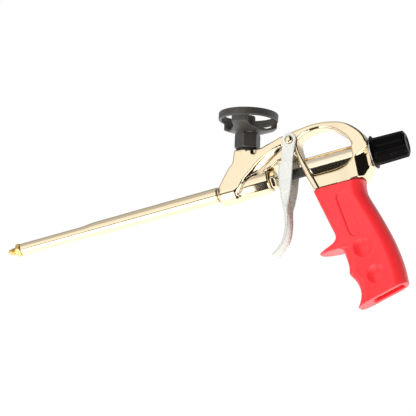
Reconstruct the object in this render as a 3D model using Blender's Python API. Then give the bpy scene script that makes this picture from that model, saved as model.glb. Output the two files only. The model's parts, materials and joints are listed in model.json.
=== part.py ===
"""Foam applicator gun, as an assembly of separate pieces.

Lengths are in millimetres and are scaled to metres when a mesh is made. The gun's own frame has X along
the barrel from the nozzle's tip to the rear, Z up from the barrel's axis, and Y = 0 in its mid-plane.
Everything hangs under one empty that moves the adapter's can seat to the world's origin.
"""

import math

import bmesh
import bpy
from mathutils import Matrix, Vector

MM = 0.001
GAP = 0.3  # clearance between neighbouring pieces
RUN = 0.35  # clearance round a piece that slides or turns
FINE = 40  # sides of a large round piece
COARSE = 24  # sides of a small round piece
ARC_STEP = math.radians(18)

# Barrel and nozzle
BARREL_FRONT = 10.9
BARREL_REAR = 198.5
BARREL_BORE_R = 3.6
THIN_R = 4.75
THICK_FRONT_R = 5.7
THICK_REAR_R = 6.12
SHOULDER = 181.0
SPIGOT_R = 4.9
FLARE_START = 62.0
FLARE_END = 77.5
NOZZLE_HEX_FLATS = 9.4
ORIFICE_R = 0.9

# Needle
ROD_R = 1.75
ROD_FRONT = 9.3
ROD_REAR = 287.0
COLLAR_R = 4.0
COLLAR_FRONT = 235.6
COLLAR_REAR = 261.5

# Body casting
SOCKET_FRONT = 183.3
SOCKET_R = 10.5
SOCKET_BOTTOM = 200.6
VALVE_R = 9.5
VALVE_REAR = 224.5
CHAMBER_R = 3.8
PACKING_FRONT = 211.5
PACKING_R = 5.4
TOWER_HALF = 8.5
VALVE_FRONT = 196.5
CORE_R = 8.2
FRAME_HALF = 8.0
STRUT_HALF = 8.5
GUSSET_HALF = 8.2
WEB_HALF = 4.2
FRAME_BOTTOM = -19.0
HUB_REAR = 306.3
HUB_R = 10.8
HUB_FRONT = 293.5
TANG_HALF = 4.0
CAST_EDGE = 1.4

# Adapter, measured along its own axis from the barrel's axis
TOWER_X = 203.2
TOWER_TILT = math.radians(13.5)
SEAT_H = 28.8
ADAPTER_HEX_FLATS = 17.8
HEX_LOW = 30.4
HEX_HIGH = 42.5
FLOOR_H = 46.8
SPOKE_R = 22.5
SPOKE_HALF = 4.6
RING_LOW = 52.9
RING_HIGH = 59.0
RING_R = 23.3
RING_INNER_R = 20.9
BALL_R = 3.6
BALL_H = 33.95

# Trigger
PIVOT_X = 247.0
PIVOT_Z = 25.0
CHEEK_INNER = 9.0
CHEEK_OUTER = 10.2
SHEET = 1.3

# Spring housing and flow knob
HOUSING_R = 9.5
HOUSING_BORE_R = 8.3
HOUSING_REAR = 304.5
STRUT_REAR_AT_AXIS = 256.8
STRUT_LEAN = 0.307  # the strut's rear face moves forward by this for each unit up
SCREW_R = 4.0
KNOB_FRONT = 307.4
KNOB_REAR = 333.4
CAP_REAR = 334.4
KNOB_R = 10.9
FLANGE_R = 12.8

# Handle
HANDLE_TOP = FRAME_BOTTOM - GAP
HANDLE_WALL = 3.6
HOLLOW_FRONT_WALL = 9.4
HOLLOW_HALF = 5.6
SHELF_BOTTOM = -84.0


def clear_scene():
    for item in list(bpy.data.objects):
        bpy.data.objects.remove(item, do_unlink=True)


def add_material(name, color, roughness, metallic):
    material = bpy.data.materials.new(name)
    material.use_nodes = True
    shader = material.node_tree.nodes["Principled BSDF"]
    shader.inputs["Base Color"].default_value = (*color, 1.0)
    shader.inputs["Roughness"].default_value = roughness
    shader.inputs["Metallic"].default_value = metallic
    return material


# Placing pieces

BARREL_AXIS = ((0.0, 0.0, 0.0), (0.0, math.pi / 2, 0.0))
TOWER_AXIS = ((TOWER_X, 0.0, 0.0), (0.0, TOWER_TILT, 0.0))
GUN_FRAME = ((0.0, 0.0, 0.0), (0.0, 0.0, 0.0))


def on_tower(height, offset=0.0):
    """X and Z of a point on the adapter's axis, offset to the rear across it."""
    x = TOWER_X + height * math.sin(TOWER_TILT) + offset * math.cos(TOWER_TILT)
    z = height * math.cos(TOWER_TILT) - offset * math.sin(TOWER_TILT)
    return x, z


def add_piece(name, bm, place=GUN_FRAME):
    """Turns a bmesh in millimetres into an object under the gun's empty."""
    bmesh.ops.recalc_face_normals(bm, faces=bm.faces)
    bmesh.ops.scale(bm, vec=(MM, MM, MM), verts=bm.verts)
    mesh = bpy.data.meshes.new(name)
    bm.to_mesh(mesh)
    bm.free()
    piece = bpy.data.objects.new(name, mesh)
    location, rotation = place
    piece.location = Vector(location) * MM
    piece.rotation_euler = rotation
    piece.parent = GUN
    bpy.context.scene.collection.objects.link(piece)
    return piece


def finish(piece, material):
    piece.data.materials.clear()
    piece.data.materials.append(material)
    piece.data.shade_smooth()
    piece.data.set_sharp_from_angle(angle=math.radians(35))


def combine(target, tool, operation):
    """Applies one Boolean to the target and removes the tool."""
    modifier = target.modifiers.new(operation.title(), "BOOLEAN")
    modifier.operation = operation
    modifier.solver = "EXACT"
    modifier.object = tool
    bpy.context.view_layer.update()
    graph = bpy.context.evaluated_depsgraph_get()
    mesh = bpy.data.meshes.new_from_object(target.evaluated_get(graph))
    target.modifiers.clear()
    merge_close(mesh)
    old_mesh = target.data
    target.data = mesh
    bpy.data.meshes.remove(old_mesh)
    bpy.data.objects.remove(tool, do_unlink=True)


def merge_close(mesh):
    """Welds the doubled points that a Boolean leaves along its seams."""
    bm = bmesh.new()
    bm.from_mesh(mesh)
    bmesh.ops.remove_doubles(bm, verts=bm.verts, dist=2e-6)
    bmesh.ops.dissolve_degenerate(bm, dist=2e-6, edges=bm.edges)
    bm.to_mesh(mesh)
    bm.free()


def cut(target, tool):
    combine(target, tool, "DIFFERENCE")


def join(target, tool):
    combine(target, tool, "UNION")


# Outlines in the XZ plane


def rounded(corners):
    """Outline from (x, z, radius) corners, each turned into an arc."""
    outline = []
    for index, (x, z, radius) in enumerate(corners):
        corner = Vector((x, z))
        if radius == 0:
            outline.append(corner)
            continue
        before = (Vector(corners[index - 1][:2]) - corner).normalized()
        after = (Vector(corners[(index + 1) % len(corners)][:2]) - corner).normalized()
        half = before.angle(after) / 2
        centre = corner + (before + after).normalized() * radius / math.sin(half)
        start = corner + before * radius / math.tan(half) - centre
        turn = start.angle_signed(corner + after * radius / math.tan(half) - centre)
        steps = max(1, math.ceil(abs(turn) / ARC_STEP))
        for step in range(steps + 1):
            angle = -turn * step / steps
            cosine, sine = math.cos(angle), math.sin(angle)
            spoke = Vector((start.x * cosine - start.y * sine, start.x * sine + start.y * cosine))
            outline.append(centre + spoke)
    return outline


def smooth(points, per_span, closed=False):
    """Catmull-Rom curve through the points."""
    points = [Vector(point) for point in points]
    count = len(points)
    curve = []
    for index in range(count if closed else count - 1):
        if closed:
            a, b, c, d = (points[(index + shift) % count] for shift in (-1, 0, 1, 2))
        else:
            b, c = points[index], points[index + 1]
            a = points[index - 1] if index else 2 * b - c
            d = points[index + 2] if index + 2 < count else 2 * c - b
        for step in range(per_span):
            t = step / per_span
            curve.append(
                0.5 * (2 * b + (c - a) * t + (2 * a - 5 * b + 4 * c - d) * t**2 + (3 * b - a - 3 * c + d) * t**3)
            )
    if not closed:
        curve.append(points[-1])
    return curve


# Basic solids


def plate(name, outline, low_y, high_y, bevel=0.0, segments=2):
    """An outline in XZ, extruded along Y, with its two rims bevelled."""
    bm = bmesh.new()
    face = bm.faces.new([bm.verts.new((x, low_y, z)) for x, z in outline])
    extruded = bmesh.ops.extrude_face_region(bm, geom=[face])
    moved = [item for item in extruded["geom"] if isinstance(item, bmesh.types.BMVert)]
    bmesh.ops.translate(bm, vec=(0, high_y - low_y, 0), verts=moved)
    bmesh.ops.recalc_face_normals(bm, faces=bm.faces)
    if bevel:
        rims = [edge for edge in bm.edges if abs(edge.verts[0].co.y - edge.verts[1].co.y) < 1e-6]
        bmesh.ops.bevel(bm, geom=rims, offset=bevel, segments=segments, profile=0.5, affect="EDGES")
    return add_piece(name, bm)


def turned(name, profile, place=BARREL_AXIS, sides=COARSE):
    """A closed (along, radius) profile, spun round the place's axis."""
    bm = bmesh.new()
    verts = [bm.verts.new((radius, 0, along)) for along, radius in profile]
    edges = [bm.edges.new((verts[i - 1], verts[i])) for i in range(len(verts)) if i or profile[0][1] > 0]
    bmesh.ops.spin(bm, geom=verts + edges, axis=(0, 0, 1), angle=2 * math.pi, steps=sides, use_merge=True)
    bmesh.ops.remove_doubles(bm, verts=bm.verts, dist=1e-4)
    return add_piece(name, bm, place)


def ring(name, low, high, inner, outer, place=BARREL_AXIS, sides=COARSE, edge=0.0):
    """A washer or tube, with its outer corners chamfered."""
    profile = [(low, inner), (low, outer - edge), (low + edge, outer), (high - edge, outer), (high, outer - edge)]
    if not edge:
        profile = [(low, inner), (low, outer), (high, outer)]
    return turned(name, profile + [(high, inner)], place, sides)


def rod(name, low, high, radius, place=BARREL_AXIS, sides=COARSE):
    return turned(name, [(low, 0), (low, radius), (high, radius), (high, 0)], place, sides)


def hexagon(name, low, high, across_flats, place, chamfer, turn=0.0):
    """A hexagonal prism along the place's axis with both ends chamfered, flats facing local X."""
    bm = bmesh.new()
    radius = across_flats / math.sqrt(3)
    corners = [math.radians(30 + 60 * index) + turn for index in range(6)]
    face = bm.faces.new([bm.verts.new((radius * math.cos(a), radius * math.sin(a), low - 1)) for a in corners])
    extruded = bmesh.ops.extrude_face_region(bm, geom=[face])
    moved = [item for item in extruded["geom"] if isinstance(item, bmesh.types.BMVert)]
    bmesh.ops.translate(bm, vec=(0, 0, high - low + 2), verts=moved)
    prism = add_piece(name, bm, place)
    start = across_flats / 2 - 0.1
    full = radius + 0.4
    rise = (full - start) * chamfer
    profile = [(low, 0), (low, start), (low + rise, full), (high - rise, full), (high, start), (high, 0)]
    combine(prism, turned(name + "_cone", profile, place, FINE), "INTERSECT")
    return prism


def helix(name, low, high, coil_r, wire_r, turns, place=BARREL_AXIS, per_turn=16, sides=6):
    """A coil spring whose end turns lie flat at low and high."""
    bm = bmesh.new()
    count = turns * per_turn
    loops = []
    for index in range(count + 1):
        angle = 2 * math.pi * index / per_turn
        travel = min(max((index / per_turn - 0.75) / (turns - 1.5), 0.0), 1.0)
        pitch_end = 2.2 * wire_r * min(index / per_turn, 0.75) / 0.75
        tail = 2.2 * wire_r * min((count - index) / per_turn, 0.75) / 0.75
        span_low = low + wire_r + 2.2 * wire_r
        span_high = high - wire_r - 2.2 * wire_r
        along = span_low + (span_high - span_low) * travel
        along += (pitch_end - 2.2 * wire_r) - (tail - 2.2 * wire_r)
        centre = Vector((coil_r * math.cos(angle), coil_r * math.sin(angle), along))
        outward = Vector((math.cos(angle), math.sin(angle), 0))
        loop = []
        for side in range(sides):
            turn = 2 * math.pi * side / sides
            loop.append(bm.verts.new(centre + wire_r * (math.cos(turn) * outward + math.sin(turn) * Vector((0, 0, 1)))))
        loops.append(loop)
    for first, second in zip(loops, loops[1:]):
        for side in range(sides):
            following = (side + 1) % sides
            bm.faces.new((first[side], first[following], second[following], second[side]))
    bm.faces.new(loops[0])
    bm.faces.new(loops[-1])
    return add_piece(name, bm, place)


def box(name, low, high):
    outline = [(low[0], low[2]), (high[0], low[2]), (high[0], high[2]), (low[0], high[2])]
    return plate(name, outline, low[1], high[1])


# Nozzle, barrel and needle


def make_nozzle():
    threads = []
    for index in range(4):
        start = 2.4 + index * 1.0
        threads += [(start, 2.3), (start + 0.35, 2.85), (start + 0.65, 2.85), (start + 0.98, 2.3)]
    outer = [(0.0, 1.9), (0.4, 2.3), *threads, (6.5, 3.0), (7.0, 3.8), (10.0, 3.8), (10.0, 3.3), (18.0, 3.3)]
    inner = [(18.0, 2.5), (8.0, 2.5), (4.0, ORIFICE_R), (0.0, ORIFICE_R)]
    nozzle = turned("nozzle_tip", outer + inner)
    hex_part = hexagon("nozzle_hex", 6.8, BARREL_FRONT - GAP, NOZZLE_HEX_FLATS, BARREL_AXIS, 1.0)
    cut(hex_part, rod("nozzle_hex_bore", 5, 12, 3.0))
    join(nozzle, hex_part)
    finish(nozzle, BRASS)


def make_barrel():
    flare = []
    for step in range(1, 8):
        t = step / 8
        radius = THIN_R + (THICK_FRONT_R - THIN_R) * (1 - math.cos(math.pi * t)) / 2
        flare.append((FLARE_START + (FLARE_END - FLARE_START) * t, radius))
    outer = [(BARREL_FRONT, THIN_R - 0.3), (BARREL_FRONT + 0.3, THIN_R), (FLARE_START, THIN_R), *flare]
    outer += [(FLARE_END, THICK_FRONT_R), (SHOULDER - 0.4, THICK_REAR_R), (SHOULDER, THICK_REAR_R - 0.4)]
    outer += [(SHOULDER, SPIGOT_R), (BARREL_REAR, SPIGOT_R)]
    inner = [(BARREL_REAR, BARREL_BORE_R), (BARREL_FRONT, BARREL_BORE_R)]
    finish(turned("barrel", outer + inner, sides=FINE), NICKEL)
    collar = ring("barrel_collar", SHOULDER + GAP, SOCKET_FRONT - GAP, SPIGOT_R + GAP, 5.8, sides=FINE, edge=0.3)
    finish(collar, NICKEL)
    seal = ring("barrel_seal", BARREL_REAR + GAP, SOCKET_BOTTOM - GAP, 3.9, 5.0, edge=0.3)
    finish(seal, BLACK_RUBBER)


def make_needle():
    tip = [(3.7, 0), (4.4, 0.7), (7.0, ROD_R), (ROD_FRONT - GAP, ROD_R), (ROD_FRONT - GAP, 0)]
    finish(turned("needle_tip", tip), WHITE_PLASTIC)
    shaft = [(ROD_FRONT, 0), (ROD_FRONT, ROD_R), (ROD_REAR - 0.6, ROD_R), (ROD_REAR, ROD_R - 0.6), (ROD_REAR, 0)]
    finish(turned("needle_rod", shaft), STEEL)
    collar = ring("rod_collar", COLLAR_FRONT, COLLAR_REAR, ROD_R + GAP, COLLAR_R, edge=0.4)
    finish(collar, BLACK_PLASTIC)
    seat = ring("spring_seat", COLLAR_REAR + GAP, COLLAR_REAR + GAP + 2.0, ROD_R + GAP, 7.8, sides=FINE, edge=0.3)
    finish(seat, STEEL)


def make_packing():
    stack = (
        ("packing_seal_front", 211.8, 214.8, WHITE_PLASTIC),
        ("packing_spacer", 215.1, 216.6, BRASS),
        ("packing_seal_rear", 216.9, 219.9, WHITE_PLASTIC),
    )
    for name, low, high, material in stack:
        finish(ring(name, low, high, ROD_R + RUN, PACKING_R - GAP, edge=0.3), material)
    nut = hexagon("gland_nut", VALVE_REAR + GAP, 229.3, 13.0, BARREL_AXIS, 0.6)
    join(nut, rod("gland_spigot", 220.2, 226.0, PACKING_R - GAP))
    cut(nut, rod("gland_bore", 218.0, 231.0, ROD_R + RUN))
    finish(nut, NICKEL)


# Body casting

TOWER_TOP = [
    (184.3, -1.4, 0),
    (184.3, 3.4, 0),
    (190.3, 11.2, 0),
    (195.0, 16.8, 3.0),
    (198.6, 19.6, 0),
    (201.9, 29.6, 0),
    (218.4, 25.7, 0),
    (223.0, 25.3, 6.0),
    (239.2, 29.7, 0),
    (252.0, 31.6, 0),
    (256.0, 22.0, 0),
    (246.0, 17.0, 0),
]

TOWER_EDGE = [
    (240.0, 22.6),
    (230.2, 20.1),
    (219.8, 15.0),
    (213.1, 9.9),
    (205.8, 4.4),
    (200.2, -1.7),
    (198.5, -3.8),
    (197.4, -6.3),
]

RIDGE_EDGE = [
    (200.4, -7.7),
    (201.6, -4.5),
    (204.0, -0.4),
    (207.9, 3.1),
    (213.6, 5.5),
    (220.0, 7.1),
    (224.8, 10.9),
    (231.1, 15.3),
    (238.6, 19.2),
]

GUSSET_OUTLINE = [
    (238.8, 20.0, 0),
    (231.0, 16.6, 0),
    (219.0, 8.4, 0),
    (216.0, 5.0, 0),
    (230.0, 8.4, 0),
    (234.0, 11.2, 2.0),
    (249.0, 13.2, 0),
    (253.0, 22.0, 0),
]

WEB_OUTLINE = [(190.0, -6.0), (222.0, -6.0), (222.0, 6.0), (233.0, 12.0), (249.0, 14.5), (252.0, 27.0), (205.0, 24.0)]

FRAME_TOP = [
    (249.0, 31.0),
    (256.0, 32.0),
    (264.4, 32.8),
    (272.4, 32.5),
    (280.2, 31.0),
    (287.8, 28.5),
    (295.1, 24.3),
    (301.3, 18.3),
    (304.8, 12.6),
    (HUB_REAR, 6.5),
]

WINDOW = [
    (253.6, 24.0),
    (260.0, 26.9),
    (268.0, 28.0),
    (275.5, 26.9),
    (281.6, 24.0),
    (286.3, 20.3),
    (290.2, 16.2),
    (292.8, 12.0),
    (294.1, 7.6),
    (293.9, 2.4),
    (291.9, -1.6),
    (288.4, -4.6),
    (283.5, -6.7),
    (278.1, -7.6),
    (268.5, -7.5),
    (259.9, -7.3),
]


def make_frame_loop():
    """The D-shaped frame: arch, front strut, lower plate and rear wall round the window."""
    outline = smooth(FRAME_TOP, 2)
    outline += [Vector(point) for point in ((306.5, -9.5), (298.6, FRAME_BOTTOM))]
    outline += [Vector(point) for point in ((258.2, FRAME_BOTTOM), (254.2, -7.4), (251.2, 4.0), (249.2, 18.0))]
    outline += [Vector((246.0, 22.0))]
    loop = plate("frame_loop", outline, -FRAME_HALF, FRAME_HALF, CAST_EDGE)
    window = smooth(WINDOW, 2) + [Vector((STRUT_REAR_AT_AXIS - STRUT_LEAN * z, z)) for z in (6.2, 14.0)]
    window += [Vector((252.3, 20.0))]
    cut(loop, plate("window", window, -30, 30))
    for side in (-1, 1):
        wedge = bmesh.new()
        corners = ((293.5, FRAME_HALF + 0.3), (307.5, 3.2), (307.5, 12.0), (293.5, 12.0))
        face = wedge.faces.new([wedge.verts.new((x, side * y, -25.0)) for x, y in corners])
        extruded = bmesh.ops.extrude_face_region(wedge, geom=[face])
        moved = [item for item in extruded["geom"] if isinstance(item, bmesh.types.BMVert)]
        bmesh.ops.translate(wedge, vec=(0, 0, 29.0), verts=moved)
        cut(loop, add_piece("rear_wedge", wedge))
    strut = [(248.6, 26.0), (249.4, 19.0), (251.4, 4.0), (254.4, -7.4), (258.6, FRAME_BOTTOM + 0.1)]
    strut += [(262.6, FRAME_BOTTOM + 0.1), (259.2, -7.8), (255.0, 6.0), (252.7, 14.0), (252.1, 20.0), (252.4, 26.0)]
    join(loop, plate("strut", strut, -STRUT_HALF, STRUT_HALF, 0.8))
    return loop


def splay(piece):
    """Draft on the casting's sides: its half-width grows downwards and forwards."""
    for vertex in piece.data.vertices:
        x, z = vertex.co.x / MM, vertex.co.z / MM
        vertex.co.y *= (11.07 - 0.00703 * x - 0.0406 * z) / TOWER_HALF


def make_tower():
    outline = rounded(TOWER_TOP) + smooth(TOWER_EDGE, 2)
    outline += [Vector((187.5, -4.9))]
    tower = plate("body_casting", outline, -TOWER_HALF, TOWER_HALF, 1.4, 3)
    splay(tower)
    return tower


def make_socket():
    """The rounded lower half of the boss that takes the barrel, its sides flush with the tower's."""
    profile = [(SOCKET_FRONT, 0), (SOCKET_FRONT, SOCKET_R - 1.8), (SOCKET_FRONT + 0.5, SOCKET_R - 0.8)]
    profile += [(SOCKET_FRONT + 1.8, SOCKET_R), (196.6, SOCKET_R), (198.4, SOCKET_R - 0.35), (199.6, VALVE_R + 0.1)]
    profile += [(201.5, VALVE_R - 0.6), (201.5, 0)]
    socket = turned("socket", profile, sides=FINE)
    for side in (-1, 1):
        low, high = sorted((side * 9.55, side * 15.0))
        cut(socket, box("socket_side", (180, low, -12), (210, high, 12)))
    cut(socket, box("socket_top", (180, -15, -0.6), (210, 15, 15)))
    return socket


def make_body():
    body = make_tower()
    join(body, make_socket())
    join(body, plate("gusset", rounded(GUSSET_OUTLINE), -GUSSET_HALF, GUSSET_HALF, 0.8))
    valve = [(VALVE_FRONT, 0), (VALVE_FRONT, VALVE_R), (VALVE_REAR - 0.8, VALVE_R), (VALVE_REAR, VALVE_R - 0.8)]
    join(body, turned("valve_cylinder", valve + [(VALVE_REAR, 0)], sides=FINE))
    groove = smooth([(240.0, 22.2), *TOWER_EDGE[1:]], 2) + smooth(RIDGE_EDGE, 2)
    groove[len(groove) - len(smooth(RIDGE_EDGE, 2)) - 1] = Vector((197.4, -7.7))
    cut(body, plate("groove", groove, -30, 30))
    join(body, rod("core", 192.0, 221.0, CORE_R, sides=FINE))
    join(body, plate("inner_web", WEB_OUTLINE, -WEB_HALF, WEB_HALF))
    join(body, make_frame_loop())
    tower_top = [(12.0, 0), (12.0, 8.4), (SEAT_H - 0.6, 9.0), (SEAT_H, 8.5), (SEAT_H, 0)]
    join(body, turned("tower_top", tower_top, TOWER_AXIS, FINE))
    hub = [(HUB_FRONT, 0), (HUB_FRONT, HUB_R - 0.8), (HUB_FRONT + 0.8, HUB_R), (HUB_REAR - 1.0, HUB_R)]
    hub += [(HUB_REAR, HUB_R - 0.8), (HUB_REAR, 0)]
    join(body, turned("hub", hub, sides=FINE))
    tang = [(268.0, -14.0), (286.0, -14.0), (295.5, -75.0), (281.0, -75.0)]
    join(body, plate("tang", tang, -TANG_HALF, TANG_HALF))
    bore_body(body)
    finish(body, NICKEL)


PLUG_AXIS = ((199.3, 0.0, 21.7), (0.0, -math.radians(71.8), 0.0))
RECESS_PROFILE = [(-2.6, 0), (-2.2, 1.3), (-1.0, 2.4), (1.5, 3.3), (1.5, 0)]


def bore_body(body):
    cut(body, rod("barrel_socket", 180, SOCKET_BOTTOM, SPIGOT_R + GAP, sides=FINE))
    cut(body, rod("valve_chamber", SOCKET_BOTTOM - 1, PACKING_FRONT + 1, CHAMBER_R))
    cut(body, rod("packing_bore", PACKING_FRONT, VALVE_REAR + 2, PACKING_R))
    cut(body, rod("adapter_socket", 21.2, SEAT_H + 4, 6.4, TOWER_AXIS))
    cut(body, rod("adapter_port", 0.5, 22.0, 2.6, TOWER_AXIS))
    cut(body, rod("rod_bore", 246.0, 262.0, COLLAR_R + RUN))
    housing_seat = [(250.0, 0), (250.0, HOUSING_R + GAP), (HUB_REAR + 3, HOUSING_R + GAP), (HUB_REAR + 3, 0)]
    seat = turned("housing_seat", housing_seat, sides=FINE)
    cut(seat, plate("strut_face", strut_side(-0.05), -30, 30))
    cut(body, seat)
    pivot = ((PIVOT_X, 0.0, PIVOT_Z), (math.pi / 2, 0.0, 0.0))
    cut(body, rod("pivot_bore", -20, 20, 2.8, pivot))
    for side in (-1, 1):
        recess = turned("recess", RECESS_PROFILE, ((217.4, side * 9.6, 23.9), (-side * math.pi / 2, 0.0, 0.0)), 20)
        for vertex in recess.data.vertices:
            vertex.co.x *= 1.7
        cut(body, recess)
    cut(body, rod("plug_bore", -4.5, 6.0, 1.7, PLUG_AXIS, 16))
    cut(body, rod("tang_screw_bore", -10, 22, 2.2, SCREW_AXIS, 16))


def strut_side(clearance):
    """Outline of everything in front of the strut's rear face, moved to the rear by the clearance."""
    face = [(STRUT_REAR_AT_AXIS - STRUT_LEAN * z + clearance, z) for z in (20.0, -20.0)]
    return [(230.0, 20.0), *face, (230.0, -20.0)]


def make_port_plug():
    profile = [(-3.5, 0), (-3.5, 1.4), (0.7, 1.4), (1.2, 1.1), (1.5, 0.6), (1.6, 0)]
    finish(turned("port_plug", profile, PLUG_AXIS, 16), NICKEL)


# Adapter


def make_adapter():
    """Hexagonal neck, three spokes and a threaded ring, in one turned and cut piece."""
    outer = [(21.5, 6.1), (30.9, 6.1), (30.9, 8.0), (HEX_HIGH - 0.6, 8.0), (43.1, 9.2)]
    outer += [(47.5, SPOKE_R - 0.9), (48.3, SPOKE_R), (RING_LOW, SPOKE_R), (RING_LOW + 0.4, RING_R)]
    outer += [(RING_HIGH - 0.5, RING_R), (RING_HIGH, RING_R - 0.5), (RING_HIGH, RING_INNER_R + 0.5)]
    inner = [(RING_HIGH - 0.5, RING_INNER_R)]
    for index in range(2):
        top = RING_HIGH - 1.3 - index * 2.2
        inner += [(top, RING_INNER_R), (top - 0.5, RING_INNER_R + 0.7), (top - 1.0, RING_INNER_R)]
    inner += [(52.0, RING_INNER_R - 0.4), (49.6, RING_INNER_R - 0.5), (FLOOR_H, 15.0), (FLOOR_H, 6.6)]
    inner += [(37.0, 6.6), (37.0, 4.4), (26.0, 4.4), (26.0, 2.6), (21.5, 2.6)]
    basket = turned("adapter_basket", outer + inner, TOWER_AXIS, FINE)
    nut = hexagon("adapter_hex", HEX_LOW, HEX_HIGH, ADAPTER_HEX_FLATS, TOWER_AXIS, 0.5)
    cut(nut, rod("adapter_hex_bore", HEX_LOW - 2, HEX_HIGH + 2, 7.0, TOWER_AXIS, FINE))
    join(basket, nut)
    for index in range(3):
        cut(basket, make_opening_cutter(math.radians(90 + 120 * index)))
    finish(basket, DARK_COATING)


def make_opening_cutter(turn):
    """A prism along the adapter's axis that opens the basket between two spokes."""
    hub, reach = 13.0, 30.0
    corner = (hub + 0.3) / math.cos(math.radians(60)) - 2 * SPOKE_HALF * math.cos(math.radians(30))
    corner = corner * math.sin(math.radians(60)) / 2 + SPOKE_HALF / 2
    outer = corner + (reach - hub) * math.tan(math.radians(60))
    points = [(hub, 0.0), (hub + 0.1, corner * 0.6), (hub + 0.5, corner), (reach, outer), (reach, -outer)]
    points += [(hub + 0.5, -corner), (hub + 0.1, -corner * 0.6)]
    bm = bmesh.new()
    face = bm.faces.new([bm.verts.new((x, y, 40.0)) for x, y in points])
    extruded = bmesh.ops.extrude_face_region(bm, geom=[face])
    moved = [item for item in extruded["geom"] if isinstance(item, bmesh.types.BMVert)]
    bmesh.ops.translate(bm, vec=(0, 0, RING_LOW - 40.0), verts=moved)
    bmesh.ops.rotate(bm, matrix=Matrix.Rotation(turn, 3, "Z"), verts=bm.verts)
    return add_piece("opening_cutter", bm, TOWER_AXIS)


def make_adapter_valve():
    seal = ring("adapter_seal", SEAT_H + GAP, HEX_LOW - GAP, 6.5, 8.6, TOWER_AXIS, FINE, 0.2)
    finish(seal, BLACK_RUBBER)
    outer = [(37.3, 6.3), (48.6, 6.3), (49.4, 5.9), (56.4, 5.3), (57.0, 4.8)]
    inner = [(57.0, 3.0), (55.4, 2.0), (37.3, 2.0)]
    finish(turned("valve_insert", outer + inner, TOWER_AXIS), DARK_COATING)
    ball = [(-BALL_R, 0)]
    ball += [(-BALL_R * math.cos(a), BALL_R * math.sin(a)) for a in (math.pi * s / 10 for s in range(1, 10))]
    ball += [(BALL_R, 0)]
    x, z = on_tower(BALL_H)
    finish(turned("valve_ball", ball, ((x, 0, z), TOWER_AXIS[1]), 20), STEEL)
    finish(helix("ball_spring", 26.4, 31.1, 3.0, 0.4, 3, TOWER_AXIS, 12), STEEL)


# Trigger

# Each station of the folded sheet: x, z, half-width and depth of the flanges
TRIGGER_STATIONS = [
    (235.3, 9.5, 10.15, 11.6),
    (232.7, -1.0, 10.15, 11.3),
    (231.6, -12.0, 10.1, 9.2),
    (231.2, -21.5, 9.3, 5.9),
    (231.1, -26.5, 8.6, 3.8),
    (230.9, -31.0, 8.2, 3.0),
    (230.2, -36.5, 8.0, 2.8),
    (228.5, -43.0, 8.0, 2.6),
    (225.4, -49.6, 8.2, 2.4),
    (221.2, -54.6, 8.6, 2.2),
    (217.6, -57.3, 8.9, 2.0),
    (216.3, -57.95, 8.4, 1.9),
    (215.6, -58.2, 7.2, 1.9),
]


def channel_section(half_width, depth):
    """Half of the folded sheet's section as (across, back) points, from the flange's edge to the web."""
    bend = min(2.3, depth - 0.15)
    outer = [(half_width, depth)]
    inner = [(half_width - SHEET, depth)]
    for step in range(4):
        angle = math.pi / 2 * step / 3
        outer.append((half_width - bend + bend * math.cos(angle), bend - bend * math.sin(angle)))
        reach = bend - SHEET
        inner.append((half_width - bend + reach * math.cos(angle), bend - reach * math.sin(angle)))
    return outer, inner


def make_trigger_web():
    """The folded trigger: a channel whose flanges are deep beside the frame and shallow at the fingers."""
    line = smooth(TRIGGER_STATIONS, 2)
    bm = bmesh.new()
    loops = []
    for index, (x, z, half_width, depth) in enumerate(line):
        following, previous = line[min(index + 1, len(line) - 1)], line[max(index - 1, 0)]
        along = Vector((following[0] - previous[0], following[1] - previous[1])).normalized()
        outer, inner = channel_section(half_width, depth)
        section = [(-y, d) for y, d in outer] + [(y, d) for y, d in reversed(outer)]
        section += inner + [(-y, d) for y, d in reversed(inner)]
        loops.append([bm.verts.new((x - along.y * d, y, z + along.x * d)) for y, d in section])
    for first, second in zip(loops, loops[1:]):
        for index in range(len(first)):
            following = (index + 1) % len(first)
            bm.faces.new((first[index], first[following], second[following], second[index]))
    bm.faces.new(loops[0])
    bm.faces.new(loops[-1])
    return add_piece("trigger_web", bm)


def ear_outline():
    """The plate round the pivot, narrowing down to the folded sheet."""
    outline = []
    for degrees in range(-5, 196, 20):
        angle = math.radians(degrees)
        outline.append((PIVOT_X + 5.8 * math.cos(angle), PIVOT_Z + 5.8 * math.sin(angle)))
    outline += [(237.7, 10.3), (236.1, 3.2), (236.6, -3.0), (243.0, -3.0), (245.9, 5.8), (248.4, 12.6)]
    return outline


def make_trigger():
    trigger = make_trigger_web()
    trigger.name = "trigger"
    for side in (-1, 1):
        low, high = sorted((side * CHEEK_INNER, side * CHEEK_OUTER))
        join(trigger, plate("ear", ear_outline(), low, high))
    cut(trigger, box("rod_slot", (226, -2.6, -2.6), (240, 2.6, 6.4)))
    pivot = ((PIVOT_X, 0.0, PIVOT_Z), (math.pi / 2, 0.0, 0.0))
    cut(trigger, rod("trigger_bore", -20, 20, 2.8, pivot))
    move_origin(trigger, (PIVOT_X, 0.0, PIVOT_Z))
    finish(trigger, TRIGGER_STEEL)


def move_origin(piece, point):
    """Puts the piece's origin on its joint's axis without moving its shape."""
    shift = Vector(point) * MM
    for vertex in piece.data.vertices:
        vertex.co -= shift
    piece.location += shift


def make_rivet():
    pivot = ((PIVOT_X, 0.0, PIVOT_Z), (math.pi / 2, 0.0, 0.0))
    start = CHEEK_OUTER + GAP
    dome = [(start, 3.2), (start + 0.3, 3.2), (start + 0.9, 2.8), (start + 1.4, 1.8), (start + 1.6, 0)]
    profile = [(-along, radius) for along, radius in reversed(dome)] + [(-start, 2.5), (start, 2.5)] + dome
    finish(turned("pivot_rivet", profile, pivot), NICKEL)


# Rear end


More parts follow.
